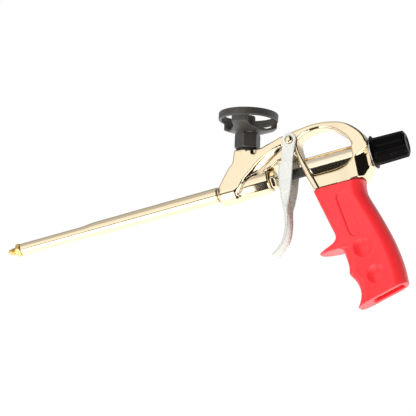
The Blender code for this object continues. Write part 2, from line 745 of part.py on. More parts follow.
def make_housing():
    tube = ring("spring_housing", 250.0, HOUSING_REAR, HOUSING_BORE_R, HOUSING_R, sides=FINE)
    cut(tube, plate("mitre", strut_side(GAP), -30, 30))
    finish(tube, NICKEL)
    bush = ring("housing_bush", 291.0, HOUSING_REAR, SCREW_R + RUN, HOUSING_BORE_R - GAP, sides=FINE, edge=0.4)
    finish(bush, BRASS)
    finish(helix("return_spring", 264.1, 290.7, 5.9, 0.7, 7), STEEL)
    finish(ring("hub_washer", HUB_REAR + GAP, KNOB_FRONT - GAP, SCREW_R + RUN, 10.4, sides=FINE), WHITE_PLASTIC)


def make_flow_knob():
    """The fluted knob, tapering to the rear, with a thin flange in front."""
    flutes, per_flute = 12, 6
    stations = (
        (KNOB_FRONT + 0.6, KNOB_R, 0.0),
        (311.0, KNOB_R - 0.1, 0.0),
        (312.6, KNOB_R - 0.2, 0.9),
        (KNOB_REAR - 0.7, 10.3, 0.9),
        (KNOB_REAR, 9.8, 0.7),
    )
    bm = bmesh.new()
    loops = []
    for along, radius, depth in stations:
        loop = []
        for index in range(flutes * per_flute):
            angle = 2 * math.pi * index / (flutes * per_flute)
            wave = max(0.0, math.cos(flutes * angle)) ** 0.8
            reach = radius - depth * wave
            loop.append(bm.verts.new((reach * math.cos(angle), reach * math.sin(angle), along)))
        loops.append(loop)
    for first, second in zip(loops, loops[1:]):
        for index in range(len(first)):
            following = (index + 1) % len(first)
            bm.faces.new((first[index], first[following], second[following], second[index]))
    bm.faces.new(loops[0])
    bm.faces.new(loops[-1])
    knob = add_piece("flow_knob", bm, BARREL_AXIS)
    flange = [(KNOB_FRONT, 0), (KNOB_FRONT, 12.4), (KNOB_FRONT + 0.4, FLANGE_R), (KNOB_FRONT + 1.0, FLANGE_R)]
    flange += [(KNOB_FRONT + 1.6, 11.4), (KNOB_FRONT + 1.6, 0)]
    join(knob, turned("flange", flange, sides=FINE))
    cut(knob, rod("screw_bore", 300, 326.3, SCREW_R + RUN))
    cut(knob, rod("head_bore", 326, 329, 1.8, sides=16))
    cut(knob, rod("cap_recess", 328.3, 340, 8.6, sides=FINE))
    finish(knob, GLOSS_BLACK)


def make_knob_parts():
    screw = [(294.2, 0), (294.2, 3.4), (294.8, SCREW_R), (326.0, SCREW_R), (326.0, 1.7), (316.0, 1.7), (315.2, 0)]
    finish(turned("adjusting_screw", screw), STEEL)
    head = [(317.0, 0), (317.0, 1.4), (328.6, 1.4), (328.6, 3.4), (330.0, 3.4), (330.8, 2.4), (330.8, 0)]
    finish(turned("knob_screw", head, sides=16), STEEL)
    cap = [(331.2, 0), (331.2, 8.3), (CAP_REAR - 0.6, 8.3), (CAP_REAR - 0.15, 8.0), (CAP_REAR, 7.4)]
    cap += [(CAP_REAR, 5.6), (CAP_REAR - 0.5, 5.2), (CAP_REAR - 0.5, 0)]
    finish(turned("knob_cap", cap, sides=FINE), GLOSS_BLACK)


# Handle

SCREW_AXIS = ((289.6, 0.0, -80.0), (0.0, -math.radians(11), 0.0))

# Levels down the grip: z, front x, length and width of the front corner's rounding
GRIP_FRONT = [
    (HANDLE_TOP, 257.4, 4.5, 4.0),
    (-28.4, 259.6, 5.0, 4.5),
    (-38.8, 262.3, 5.5, 4.8),
    (-49.0, 265.0, 5.5, 4.8),
    (-56.4, 266.9, 5.5, 5.0),
    (-59.4, 266.6, 6.0, 5.4),
    (-61.4, 264.9, 8.5, 6.2),
    (-62.8, 262.3, 11.0, 7.2),
    (-63.9, 259.2, 14.0, 8.0),
    (-65.0, 256.0, 17.0, 8.6),
    (-66.2, 253.0, 20.0, 9.0),
    (-67.1, 251.5, 21.0, 9.2),
    (-67.9, 251.6, 21.0, 9.3),
    (-68.3, 253.4, 19.0, 9.0),
    (-68.4, 260.0, 13.0, 7.5),
    (-68.6, 267.0, 7.5, 6.0),
    (-69.6, 269.9, 5.5, 5.0),
    (-72.5, 271.4, 5.0, 4.8),
    (-77.0, 272.1, 5.0, 4.8),
    (-82.0, 272.6, 5.0, 4.8),
    (-86.5, 272.2, 5.0, 4.8),
    (-88.9, 271.8, 5.0, 4.8),
    (-91.3, 273.0, 5.0, 4.8),
    (-94.1, 274.8, 5.0, 4.8),
    (-97.5, 276.4, 5.0, 4.8),
    (-101.5, 277.3, 5.0, 4.8),
    (-105.0, 277.3, 5.0, 4.8),
    (-108.5, 276.4, 5.0, 4.8),
    (-112.0, 274.8, 5.0, 4.8),
    (-115.0, 272.6, 5.0, 4.8),
    (-121.0, 268.6, 5.0, 4.8),
]

# Levels down the grip's back: z and x
GRIP_BACK = [
    (HANDLE_TOP, 297.2),
    (-22.5, 296.1),
    (-26.0, 295.8),
    (-30.0, 296.0),
    (-35.0, 297.5),
    (-43.5, 300.5),
    (-54.0, 304.0),
    (-64.4, 307.1),
    (-74.5, 309.6),
    (-84.4, 311.4),
    (-94.0, 312.5),
    (-103.6, 312.7),
    (-121.0, 312.4),
]


def between(table, z, column):
    """The table's value at a level, from straight lines between its rows."""
    for upper, lower in zip(table, table[1:]):
        if z >= lower[0]:
            share = min(1.0, max(0.0, (upper[0] - z) / (upper[0] - lower[0])))
            return upper[column] + (lower[column] - upper[column]) * share
    return table[-1][column]


def grip_section(z, inset):
    """The grip's rounded section at one level, shrunk by the inset."""
    front, back = between(GRIP_FRONT, z, 1) + inset, between(GRIP_BACK, z, 1) - inset
    half = 11.9 - 2.3 * (max(0.0, -60.0 - z) / 55.0) ** 2 - inset
    nose = (max(1.2, between(GRIP_FRONT, z, 2) - inset), max(1.2, between(GRIP_FRONT, z, 3) - inset))
    heel = (9.5 - inset, 8.5 - inset)
    side = []
    for step in range(6):
        angle = math.pi / 2 * step / 5
        side.append((front + nose[0] * (1 - math.cos(angle)), half - nose[1] * (1 - math.sin(angle))))
    side.append(((front + nose[0] + back - heel[0]) / 2, half))
    for step in range(7):
        angle = math.pi / 2 * (1 - step / 6)
        side.append((back - heel[0] * (1 - math.cos(angle)), half - heel[1] * (1 - math.sin(angle))))
    return side + [(x, -y) for x, y in reversed(side)]


def grip_solid(name, levels):
    """A solid through the grip's sections at (level, inset) pairs."""
    bm = bmesh.new()
    loops = [[bm.verts.new((x, y, z)) for x, y in grip_section(z, inset)] for z, inset in levels]
    for first, second in zip(loops, loops[1:]):
        for index in range(len(first)):
            following = (index + 1) % len(first)
            bm.faces.new((first[index], first[following], second[following], second[index]))
    bm.faces.new(loops[0])
    bm.faces.new(loops[-1])
    return add_piece(name, bm)


def make_handle():
    levels = [(HANDLE_TOP, 0.8), (HANDLE_TOP - 0.3, 0.3), (HANDLE_TOP - 1.0, 0.0), (-23.0, 0.0), (-25.5, 0.0)]
    levels += [(row[0], 0.0) for row in GRIP_FRONT[1:]]
    handle = grip_solid("handle_shell", levels)
    foot = [(262.0, -117.85), (320.0, -103.35), (320.0, -130.0), (262.0, -130.0)]
    cut(handle, plate("foot", foot, -30, 30))
    levels = (SHELF_BOTTOM, -89.0, -94.0, -99.0, -104.0, -110.0, -122.0)
    hollow = [Vector((between(GRIP_FRONT, z, 1) + HOLLOW_FRONT_WALL, z)) for z in levels]
    hollow += [Vector((between(GRIP_BACK, z, 1) - HANDLE_WALL, z)) for z in reversed(levels)]
    cut(handle, plate("hollow", hollow, -HOLLOW_HALF, HOLLOW_HALF, 1.2))
    pocket = [(267.65, -13.0), (286.35, -13.0), (295.9, -75.4), (280.65, -75.4)]
    cut(handle, plate("tang_pocket", pocket, -TANG_HALF - GAP, TANG_HALF + GAP))
    cut(handle, rod("shelf_bore", -8, 8, 2.3, SCREW_AXIS, 16))
    for side in (-1, 1):
        for x, z, face in ((287.0, -72.6, 11.78), (292.9, -95.2, 10.96)):
            place = ((x, side * face, z), (-side * math.pi / 2, 0.0, 0.0))
            dish = [(-1.5, 0), (-1.35, 2.4), (-0.95, 4.6), (-0.3, 6.8), (0.9, 9.4), (0.9, 0)]
            cut(handle, turned("dimple", dish, place, 28))
        low, high = sorted((side * 11.4, side * 14.0))
        cut(handle, plate("panel", capsule((278.9, -31.0), (283.2, -58.0), 4.6), low, high))
    finish(handle, RED_PLASTIC)


def capsule(start, end, radius):
    start, end = Vector(start), Vector(end)
    along = (end - start).normalized()
    across = Vector((-along.y, along.x))
    outline = []
    for centre, sign in ((end, 1), (start, -1)):
        for step in range(9):
            angle = math.pi * step / 8 - math.pi / 2
            outline.append(centre + radius * sign * (math.cos(angle) * along + math.sin(angle) * across))
    return outline


def make_handle_screw():
    profile = [(-8.2, 0), (-8.2, 2.6), (-7.4, 3.6), (-5.4, 3.6), (-5.4, 1.9), (16.0, 1.9), (16.6, 1.3), (16.6, 0)]
    finish(turned("handle_screw", profile, SCREW_AXIS, 16), STEEL)


clear_scene()
GUN = bpy.data.objects.new("gun_frame", None)
bpy.context.scene.collection.objects.link(GUN)
SEAT_X, SEAT_Z = on_tower(FLOOR_H)
GUN.location = Vector((-SEAT_X, 0.0, -SEAT_Z)) * MM

NICKEL = add_material("nickel_plate", (0.80, 0.72, 0.60), 0.18, 1.0)
BRASS = add_material("brass", (0.86, 0.62, 0.25), 0.25, 1.0)
STEEL = add_material("bright_steel", (0.72, 0.72, 0.72), 0.25, 1.0)
TRIGGER_STEEL = add_material("satin_steel", (0.85, 0.85, 0.82), 0.35, 1.0)
DARK_COATING = add_material("dark_coating", (0.10, 0.095, 0.09), 0.5, 0.2)
BLACK_PLASTIC = add_material("black_plastic", (0.02, 0.02, 0.02), 0.45, 0.0)
GLOSS_BLACK = add_material("gloss_black", (0.012, 0.012, 0.013), 0.2, 0.0)
BLACK_RUBBER = add_material("black_rubber", (0.015, 0.015, 0.015), 0.7, 0.0)
WHITE_PLASTIC = add_material("white_plastic", (0.85, 0.85, 0.82), 0.4, 0.0)
RED_PLASTIC = add_material("red_plastic", (0.85, 0.03, 0.04), 0.35, 0.0)

make_nozzle()
make_barrel()
make_needle()
make_packing()
make_body()
make_port_plug()
make_adapter()
make_adapter_valve()
make_trigger()
make_rivet()
make_housing()
make_flow_knob()
make_knob_parts()
make_handle()
make_handle_screw()
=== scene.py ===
"""Looks of the foam applicator gun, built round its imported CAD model.

Lengths are in millimetres in the gun's own frame: X along the barrel from the nozzle's tip to the rear,
Z up from the barrel's axis, Y = 0 in the mid-plane. ORIGIN is the row frame's origin in that frame.
"""

import json
import math

import bmesh
import bpy
from mathutils import Euler, Matrix, Vector


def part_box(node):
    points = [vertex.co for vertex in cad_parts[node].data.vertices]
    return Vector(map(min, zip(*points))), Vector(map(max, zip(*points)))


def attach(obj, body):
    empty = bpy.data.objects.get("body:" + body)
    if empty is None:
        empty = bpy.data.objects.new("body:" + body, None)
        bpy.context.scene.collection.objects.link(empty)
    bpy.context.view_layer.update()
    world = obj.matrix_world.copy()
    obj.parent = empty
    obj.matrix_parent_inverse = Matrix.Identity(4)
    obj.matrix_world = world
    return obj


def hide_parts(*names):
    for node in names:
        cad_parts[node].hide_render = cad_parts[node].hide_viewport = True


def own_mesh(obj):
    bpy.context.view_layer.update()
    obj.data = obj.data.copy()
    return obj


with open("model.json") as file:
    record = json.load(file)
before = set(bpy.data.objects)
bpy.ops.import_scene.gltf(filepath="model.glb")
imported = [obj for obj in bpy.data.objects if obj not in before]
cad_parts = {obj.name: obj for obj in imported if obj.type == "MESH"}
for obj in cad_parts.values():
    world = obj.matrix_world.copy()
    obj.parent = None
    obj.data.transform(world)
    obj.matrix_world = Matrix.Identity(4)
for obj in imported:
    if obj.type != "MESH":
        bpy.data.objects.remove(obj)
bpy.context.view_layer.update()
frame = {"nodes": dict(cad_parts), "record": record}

MM = 0.001
NUDGE = Vector((0.001, 0.0013, 0.0007)) * MM  # moves a tool off faces that coincide with its own
GAP = 0.3  # clearance between neighbouring pieces
RUN = 0.35  # clearance round a piece that slides or turns
FINE = 112  # sides of a large round piece
COARSE = 64  # sides of a small round piece
ARC_STEP = math.radians(6)
CURVE_STEPS = 8  # points on each span of a smooth outline

# Barrel and nozzle
BARREL_FRONT = 10.9
BARREL_REAR = 198.5
BARREL_BORE_R = 3.6
THIN_R = 4.75
THICK_FRONT_R = 5.7
THICK_REAR_R = 6.12
SHOULDER = 181.0
SPIGOT_R = 4.9
FLARE_START = 62.0
FLARE_END = 77.5
NOZZLE_HEX_FLATS = 9.4
ORIFICE_R = 0.9

# Needle
ROD_R = 1.75
ROD_FRONT = 9.3
ROD_REAR = 287.0
COLLAR_R = 4.0
COLLAR_FRONT = 235.6
COLLAR_REAR = 261.5

# Body casting
SOCKET_FRONT = 183.3
SOCKET_R = 10.5
SOCKET_BOTTOM = 200.6
VALVE_R = 9.5
VALVE_REAR = 224.5
CHAMBER_R = 3.8
PACKING_FRONT = 211.5
PACKING_R = 5.4
TOWER_HALF = 8.5
VALVE_FRONT = 196.5
CORE_R = 8.2
FRAME_HALF = 8.0
STRUT_HALF = 8.5
GUSSET_HALF = 8.2
WEB_HALF = 4.2
FRAME_BOTTOM = -19.0
HUB_REAR = 306.3
HUB_R = 10.8
HUB_FRONT = 293.5
TANG_HALF = 4.0
CAST_EDGE = 1.4

# Adapter, measured along its own axis from the barrel's axis
TOWER_X = 203.2
TOWER_TILT = math.radians(13.5)
SEAT_H = 28.8
ADAPTER_HEX_FLATS = 17.8
HEX_LOW = 30.4
HEX_HIGH = 42.5
FLOOR_H = 46.8
SPOKE_R = 22.5
SPOKE_HALF = 4.6
RING_LOW = 52.9
RING_HIGH = 59.0
RING_R = 23.3
RING_INNER_R = 20.9

# Trigger
PIVOT_X = 247.0
PIVOT_Z = 25.0
CHEEK_INNER = 9.0
CHEEK_OUTER = 10.2
SHEET = 1.3

# Spring housing and flow knob
HOUSING_R = 9.5
HOUSING_BORE_R = 8.3
STRUT_REAR_AT_AXIS = 256.8
STRUT_LEAN = 0.307  # the strut's rear face moves forward by this for each unit up
SCREW_R = 4.0
KNOB_FRONT = 307.4
KNOB_REAR = 333.4
CAP_REAR = 334.4
KNOB_R = 10.9
FLANGE_R = 12.8

# Handle
HANDLE_TOP = FRAME_BOTTOM - GAP
HANDLE_WALL = 3.6
HOLLOW_FRONT_WALL = 9.4
HOLLOW_HALF = 5.6
SHELF_BOTTOM = -84.0


# Placing pieces

BARREL_AXIS = ((0.0, 0.0, 0.0), (0.0, math.pi / 2, 0.0))
TOWER_AXIS = ((TOWER_X, 0.0, 0.0), (0.0, TOWER_TILT, 0.0))
GUN_FRAME = ((0.0, 0.0, 0.0), (0.0, 0.0, 0.0))


BARREL_LOW, BARREL_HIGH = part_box("barrel")
ORIGIN = Vector((-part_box("nozzle_tip")[0].x / MM, 0.0, -(BARREL_LOW.z + BARREL_HIGH.z) / 2 / MM))


def add_piece(name, bm, place=GUN_FRAME):
    """Turns a bmesh in millimetres into an object whose mesh lies in the row frame."""
    location, rotation = place
    moved = Matrix.Translation(Vector(location) - ORIGIN) @ Euler(rotation).to_matrix().to_4x4()
    bm.transform(Matrix.Scale(MM, 4) @ moved)
    bmesh.ops.recalc_face_normals(bm, faces=bm.faces)
    mesh = bpy.data.meshes.new(name)
    bm.to_mesh(mesh)
    bm.free()
    piece = bpy.data.objects.new(name, mesh)
    bpy.context.scene.collection.objects.link(piece)
    return piece


def show(piece, material, body, *nodes):
    """Gives the piece its material and body, and hides the CAD nodes that it stands for."""
    piece.data.materials.clear()
    piece.data.materials.append(material)
    piece.data.shade_smooth()
    piece.data.set_sharp_from_angle(angle=math.radians(40))
    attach(piece, body)
    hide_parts(*nodes)


def soften(piece, voxel, rounds):
    """Rebuilds the piece as an even dense mesh and relaxes it, which rounds its edges like a casting's."""
    remesh = piece.modifiers.new("Even mesh", "REMESH")
    remesh.mode = "VOXEL"
    remesh.voxel_size = voxel * MM
    relax = piece.modifiers.new("Relax", "SMOOTH")
    relax.factor = 0.5
    relax.iterations = rounds
    bpy.context.view_layer.update()
    graph = bpy.context.evaluated_depsgraph_get()
    mesh = bpy.data.meshes.new_from_object(piece.evaluated_get(graph))
    piece.modifiers.clear()
    old_mesh = piece.data
    piece.data = mesh
    bpy.data.meshes.remove(old_mesh)


def volume(mesh):
    bm = bmesh.new()
    bm.from_mesh(mesh)
    size = abs(bm.calc_volume())
    bm.free()
    return size


def combine(target, tool, operation):
    """Applies one Boolean to the target and removes the tool.

    Where faces of the two coincide, the solver can lose the solid. The tool then moves by a micrometre.
    """
    before = volume(target.data)
    least = 0.99 * max(before, volume(tool.data)) if operation == "UNION" else 0.1 * before
    for _ in range(6):
        modifier = target.modifiers.new(operation.title(), "BOOLEAN")
        modifier.operation = operation
        modifier.solver = "EXACT"
        modifier.object = tool
        bpy.context.view_layer.update()
        graph = bpy.context.evaluated_depsgraph_get()
        mesh = bpy.data.meshes.new_from_object(target.evaluated_get(graph))
        target.modifiers.clear()
        merge_close(mesh)
        if volume(mesh) >= least:
            break
        tool.location += NUDGE
    old_mesh = target.data
    target.data = mesh
    bpy.data.meshes.remove(old_mesh)
    bpy.data.objects.remove(tool, do_unlink=True)


def merge_close(mesh):
    """Welds the doubled points that a Boolean leaves along its seams."""
    bm = bmesh.new()
    bm.from_mesh(mesh)
    bmesh.ops.remove_doubles(bm, verts=bm.verts, dist=2e-6)
    bmesh.ops.dissolve_degenerate(bm, dist=2e-6, edges=bm.edges)
    bm.to_mesh(mesh)
    bm.free()


def cut(target, tool):
    combine(target, tool, "DIFFERENCE")


def join(target, tool):
    combine(target, tool, "UNION")


# Outlines in the XZ plane


def rounded(corners):
    """Outline from (x, z, radius) corners, each turned into an arc."""
    outline = []
    for index, (x, z, radius) in enumerate(corners):
        corner = Vector((x, z))
        if radius == 0:
            outline.append(corner)
            continue
        before = (Vector(corners[index - 1][:2]) - corner).normalized()
        after = (Vector(corners[(index + 1) % len(corners)][:2]) - corner).normalized()
        half = before.angle(after) / 2
        centre = corner + (before + after).normalized() * radius / math.sin(half)
        start = corner + before * radius / math.tan(half) - centre
        turn = start.angle_signed(corner + after * radius / math.tan(half) - centre)
        steps = max(1, math.ceil(abs(turn) / ARC_STEP))
        for step in range(steps + 1):
            angle = -turn * step / steps
            cosine, sine = math.cos(angle), math.sin(angle)
            spoke = Vector((start.x * cosine - start.y * sine, start.x * sine + start.y * cosine))
            outline.append(centre + spoke)
    return outline


def smooth(points):
    """Catmull-Rom curve through the points."""
    points = [Vector(point) for point in points]
    curve = []
    for index in range(len(points) - 1):
        b, c = points[index], points[index + 1]
        a = points[index - 1] if index else 2 * b - c
        d = points[index + 2] if index + 2 < len(points) else 2 * c - b
        square, cube = 2 * a - 5 * b + 4 * c - d, 3 * b - a - 3 * c + d
        for step in range(CURVE_STEPS):
            t = step / CURVE_STEPS
            curve.append(0.5 * (2 * b + (c - a) * t + square * t**2 + cube * t**3))
    return curve + [points[-1]]


# Basic solids


def prism(points, shift):
    """The outline's points, extruded by the shift."""
    bm = bmesh.new()
    face = bm.faces.new([bm.verts.new(point) for point in points])
    extruded = bmesh.ops.extrude_face_region(bm, geom=[face])
    moved = [item for item in extruded["geom"] if isinstance(item, bmesh.types.BMVert)]
    bmesh.ops.translate(bm, vec=shift, verts=moved)
    return bm


def plate(name, outline, low_y, high_y, bevel=0.0, segments=2):
    """An outline in XZ, extruded along Y, with its two rims bevelled."""
    bm = prism([(x, low_y, z) for x, z in outline], (0, high_y - low_y, 0))
    bmesh.ops.recalc_face_normals(bm, faces=bm.faces)
    if bevel:
        rims = [edge for edge in bm.edges if abs(edge.verts[0].co.y - edge.verts[1].co.y) < 1e-6]
        bmesh.ops.bevel(bm, geom=rims, offset=bevel, segments=segments, profile=0.5, affect="EDGES")
    return add_piece(name, bm)


def turned(name, profile, place=BARREL_AXIS, sides=COARSE):
    """A closed (along, radius) profile, spun round the place's axis."""
    bm = bmesh.new()
    verts = [bm.verts.new((radius, 0, along)) for along, radius in profile]
    edges = [bm.edges.new((verts[i - 1], verts[i])) for i in range(len(verts)) if i or profile[0][1] > 0]
    bmesh.ops.spin(bm, geom=verts + edges, axis=(0, 0, 1), angle=2 * math.pi, steps=sides, use_merge=True)
    bmesh.ops.remove_doubles(bm, verts=bm.verts, dist=1e-4)
    return add_piece(name, bm, place)


def rod(name, low, high, radius, place=BARREL_AXIS, sides=COARSE):
    return turned(name, [(low, 0), (low, radius), (high, radius), (high, 0)], place, sides)


def hexagon(name, low, high, across_flats, place, chamfer):
    """A hexagonal prism along the place's axis with both ends chamfered, flats facing local X."""
    radius = across_flats / math.sqrt(3)
    corners = [math.radians(30 + 60 * index) for index in range(6)]
    points = [(radius * math.cos(angle), radius * math.sin(angle), low - 1) for angle in corners]
    nut = add_piece(name, prism(points, (0, 0, high - low + 2)), place)
    start = across_flats / 2 - 0.1
    full = radius + 0.4
    rise = (full - start) * chamfer
    profile = [(low, 0), (low, start), (low + rise, full), (high - rise, full), (high, start), (high, 0)]
    combine(nut, turned(name + "_cone", profile, place, FINE), "INTERSECT")
    return nut


def box(name, low, high):
    outline = [(low[0], low[2]), (high[0], low[2]), (high[0], high[2]), (low[0], high[2])]
    return plate(name, outline, low[1], high[1])


def bridge(bm, loops):
    """Faces between each pair of neighbouring loops, and a cap on either end."""
    for first, second in zip(loops, loops[1:]):
        for index in range(len(first)):
            following = (index + 1) % len(first)
            bm.faces.new((first[index], first[following], second[following], second[index]))
    bm.faces.new(loops[0])
    bm.faces.new(loops[-1])


# Materials


def add_node(tree, kind, **values):
    """A node with its settings, and its input sockets' values, given by name."""
    node = tree.nodes.new(kind)
    for name, value in values.items():
        label = name.replace("_", " ").title()
        if label in node.inputs:
            node.inputs[label].default_value = value
        else:
            setattr(node, name, value)
    return node


def spread(tree, source, low, high, start=0.3, end=0.7):
    """Maps a value that runs from start to end, as a noise does, onto low to high."""
    node = add_node(tree, "ShaderNodeMapRange", from_min=start, from_max=end, to_min=low, to_max=high)
    tree.links.new(source, node.inputs["Value"])
    return node.outputs["Result"]


def multiply(tree, first, second, clamped=False):
    """The product of a socket and a second socket or a number."""
    node = add_node(tree, "ShaderNodeMath", operation="MULTIPLY", use_clamp=clamped)
    tree.links.new(first, node.inputs[0])
    if isinstance(second, float):
        node.inputs[1].default_value = second
    else:
        tree.links.new(second, node.inputs[1])
    return node.outputs["Value"]


def blend_colors(tree, factor, first, second):
    """A colour between the first and the second, each a colour or a socket."""
    node = add_node(tree, "ShaderNodeMix", data_type="RGBA")
    tree.links.new(factor, node.inputs["Factor"])
    for socket, color in ((node.inputs[6], first), (node.inputs[7], second)):
        if isinstance(color, tuple):
            socket.default_value = (*color, 1.0)
        else:
            tree.links.new(color, socket)
    return node.outputs[2]


def surface(
    name,
    color,
    tint,
    roughness,
    metallic=0.0,
    patch=60.0,
    grain=1500.0,
    relief=0.05,
    stretch=(1.0, 1.0, 1.0),
    edge=None,
    crevice_shade=None,
    rounding=0.0,
    waviness=0.0,
    sockets=(),
):
    """A finish with patches of a second tint, uneven gloss and fine relief.

    It can also have painted highlights on sharp edges, painted shade in its crevices and between parts, soft
    edges and the slow waves of a polished casting.
    """
    material = bpy.data.materials.new(name + "_look")
    material.use_nodes = True
    tree = material.node_tree
    shader = tree.nodes["Principled BSDF"]
    shader.inputs["Metallic"].default_value = metallic
    for label, value in sockets:
        shader.inputs[label].default_value = value
    place = add_node(tree, "ShaderNodeTexCoord").outputs["Object"]
    mapping = add_node(tree, "ShaderNodeMapping", scale=stretch)
    tree.links.new(place, mapping.inputs["Vector"])
    patches = add_node(tree, "ShaderNodeTexNoise", scale=patch, detail=4.0)
    fine = add_node(tree, "ShaderNodeTexNoise", scale=grain, detail=3.0)
    tree.links.new(place, patches.inputs["Vector"])
    tree.links.new(mapping.outputs["Vector"], fine.inputs["Vector"])
    shade = blend_colors(tree, spread(tree, patches.outputs["Fac"], 0.0, 1.0), color, tint)
    # Painted highlight: sharp edges, found by pointiness, turn towards the edge colour, broken up by the fine
    # noise.
    if edge:
        pointed = add_node(tree, "ShaderNodeNewGeometry").outputs["Pointiness"]
        ridge = spread(tree, pointed, 0.0, 1.0, 0.51, 0.58)
        edge_highlight = multiply(tree, ridge, spread(tree, fine.outputs["Fac"], 0.2, 0.9))
        shade = blend_colors(tree, edge_highlight, shade, edge)
    # Painted shade: the base colour darkens towards the crevice colour where ambient occlusion finds hollows
    # and joints between parts.
    if crevice_shade:
        hollow = add_node(tree, "ShaderNodeAmbientOcclusion", samples=6, distance=0.0035)
        shade = blend_colors(tree, spread(tree, hollow.outputs["AO"], 0.0, 1.0, 0.15, 0.75), crevice_shade, shade)
    tree.links.new(shade, shader.inputs["Base Color"])
    gloss = spread(tree, patches.outputs["Fac"], *roughness)
    gloss = multiply(tree, gloss, spread(tree, fine.outputs["Fac"], 0.85, 1.15))
    tree.links.new(gloss, shader.inputs["Roughness"])
    bump = add_node(tree, "ShaderNodeBump", strength=relief, distance=0.0002)
    tree.links.new(fine.outputs["Fac"], bump.inputs["Height"])
    if rounding:
        bevel = add_node(tree, "ShaderNodeBevel", samples=8, radius=rounding)
        tree.links.new(bevel.outputs["Normal"], bump.inputs["Normal"])
    last = bump
    if waviness:
        last = add_node(tree, "ShaderNodeBump", strength=1.0, distance=waviness)
        tree.links.new(patches.outputs["Fac"], last.inputs["Height"])
        tree.links.new(bump.outputs["Normal"], last.inputs["Normal"])
    tree.links.new(last.outputs["Normal"], shader.inputs["Normal"])
    return material


# In each finish below, the edge colour is a painted highlight on sharp edges and the crevice colour is
# painted shade in hollows and between parts.
NICKEL = surface(
    "nickel_plate", (0.95, 0.79, 0.54), (0.94, 0.80, 0.57), (0.06, 0.11), metallic=1.0, patch=45.0,
    grain=260.0, relief=0.02, edge=(0.98, 0.88, 0.70), crevice_shade=(0.20, 0.13, 0.07), rounding=0.0016,
    waviness=0.00010,
)
BRASS = surface(
    "brass", (0.93, 0.66, 0.24), (0.86, 0.58, 0.20), (0.16, 0.28), metallic=1.0, patch=400.0,
    grain=2500.0, stretch=(4.0, 1.0, 1.0), edge=(0.98, 0.82, 0.48),
)
STEEL = surface(
    "bright_steel", (0.80, 0.79, 0.77), (0.70, 0.69, 0.68), (0.15, 0.26), metallic=1.0,
    grain=2200.0, stretch=(5.0, 1.0, 1.0),
)
TRIGGER_STEEL = surface(
    "satin_steel", (0.78, 0.79, 0.74), (0.74, 0.75, 0.70), (0.22, 0.32), metallic=0.45, patch=160.0,
    grain=1400.0, relief=0.03, stretch=(1.0, 1.0, 0.15), crevice_shade=(0.30, 0.27, 0.22),
    rounding=0.0006,
)
DARK_COATING = surface(
    "dark_coating", (0.052, 0.046, 0.041), (0.036, 0.032, 0.028), (0.30, 0.44), patch=140.0,
    grain=1900.0, relief=0.40, edge=(0.20, 0.19, 0.18), crevice_shade=(0.006, 0.005, 0.004),
    sockets=(("Specular IOR Level", 0.6),),
)
BLACK_PLASTIC = surface("black_plastic", (0.02, 0.019, 0.018), (0.03, 0.028, 0.027), (0.38, 0.5), relief=0.1)
GLOSS_BLACK = surface(
    "gloss_black", (0.0016, 0.0012, 0.0011), (0.0026, 0.0020, 0.0018), (0.18, 0.28), patch=120.0,
    grain=900.0, relief=0.05, edge=(0.02, 0.02, 0.02), sockets=(("Specular IOR Level", 0.05),),
)
BLACK_RUBBER = surface("black_rubber", (0.018,) * 3, (0.028, 0.027, 0.026), (0.62, 0.78), relief=0.2)
WHITE_PLASTIC = surface("white_plastic", (0.84, 0.84, 0.80), (0.78, 0.77, 0.72), (0.34, 0.46), relief=0.08)
RED_PLASTIC = surface(
    "red_plastic", (0.96, 0.034, 0.042), (0.93, 0.028, 0.036), (0.27, 0.38), patch=50.0,
    grain=1600.0, relief=0.10, edge=(0.97, 0.11, 0.12), crevice_shade=(0.42, 0.006, 0.010),
    sockets=(("Coat Weight", 0.15), ("Coat Roughness", 0.2), ("Subsurface Weight", 0.05)),
)
LOOKS = [material for material in bpy.data.materials if material.name.endswith("_look")]
FINISHES = {material.name.removesuffix("_look"): material for material in LOOKS}


# Body casting

TOWER_TOP = [
    (184.3, -1.4, 0), (184.3, 3.4, 0), (190.3, 11.2, 0), (195.0, 16.8, 3.0), (198.6, 19.6, 0),
    (201.9, 29.6, 0), (218.4, 25.7, 0), (223.0, 25.3, 6.0), (239.2, 29.7, 0), (252.0, 31.6, 0),
    (252.0, 22.0, 0), (246.0, 17.0, 0),
]

TOWER_EDGE = [
    (240.0, 22.6), (230.2, 20.1), (219.8, 15.0), (213.1, 9.9), (205.8, 4.4), (200.2, -1.7),
    (198.5, -3.8), (197.4, -6.3),
]

RIDGE_EDGE = [
    (200.4, -7.7), (201.6, -4.5), (204.0, -0.4), (207.9, 3.1), (213.6, 5.5), (220.0, 7.1),
    (224.8, 10.9), (231.1, 15.3), (238.6, 19.2),
]

GUSSET_OUTLINE = [
    (238.8, 20.0, 0), (231.0, 16.6, 0), (219.0, 8.4, 0), (216.0, 5.0, 0), (230.0, 8.4, 0),
    (234.0, 11.2, 2.0), (249.0, 13.2, 0), (251.4, 22.0, 0),
]

WEB_OUTLINE = [(190.0, -6.0), (222.0, -6.0), (222.0, 6.0), (233.0, 12.0), (249.0, 14.5), (252.0, 27.0)]
WEB_OUTLINE += [(205.0, 24.0)]

FRAME_TOP = [
    (249.0, 31.0), (256.0, 32.0), (264.4, 32.8), (272.4, 32.5), (280.2, 31.0), (287.8, 28.5),
    (295.1, 24.3), (301.3, 18.3), (304.8, 12.6), (HUB_REAR, 6.5),
]

WINDOW = [
    (253.6, 24.0), (260.0, 26.9), (268.0, 28.0), (275.5, 26.9), (281.6, 24.0), (286.3, 20.3),
    (290.2, 16.2), (292.8, 12.0), (294.1, 7.6), (293.9, 2.4), (291.9, -1.6), (288.4, -4.6),
    (283.5, -6.7), (278.1, -7.6), (268.5, -7.5), (259.9, -7.3),
]


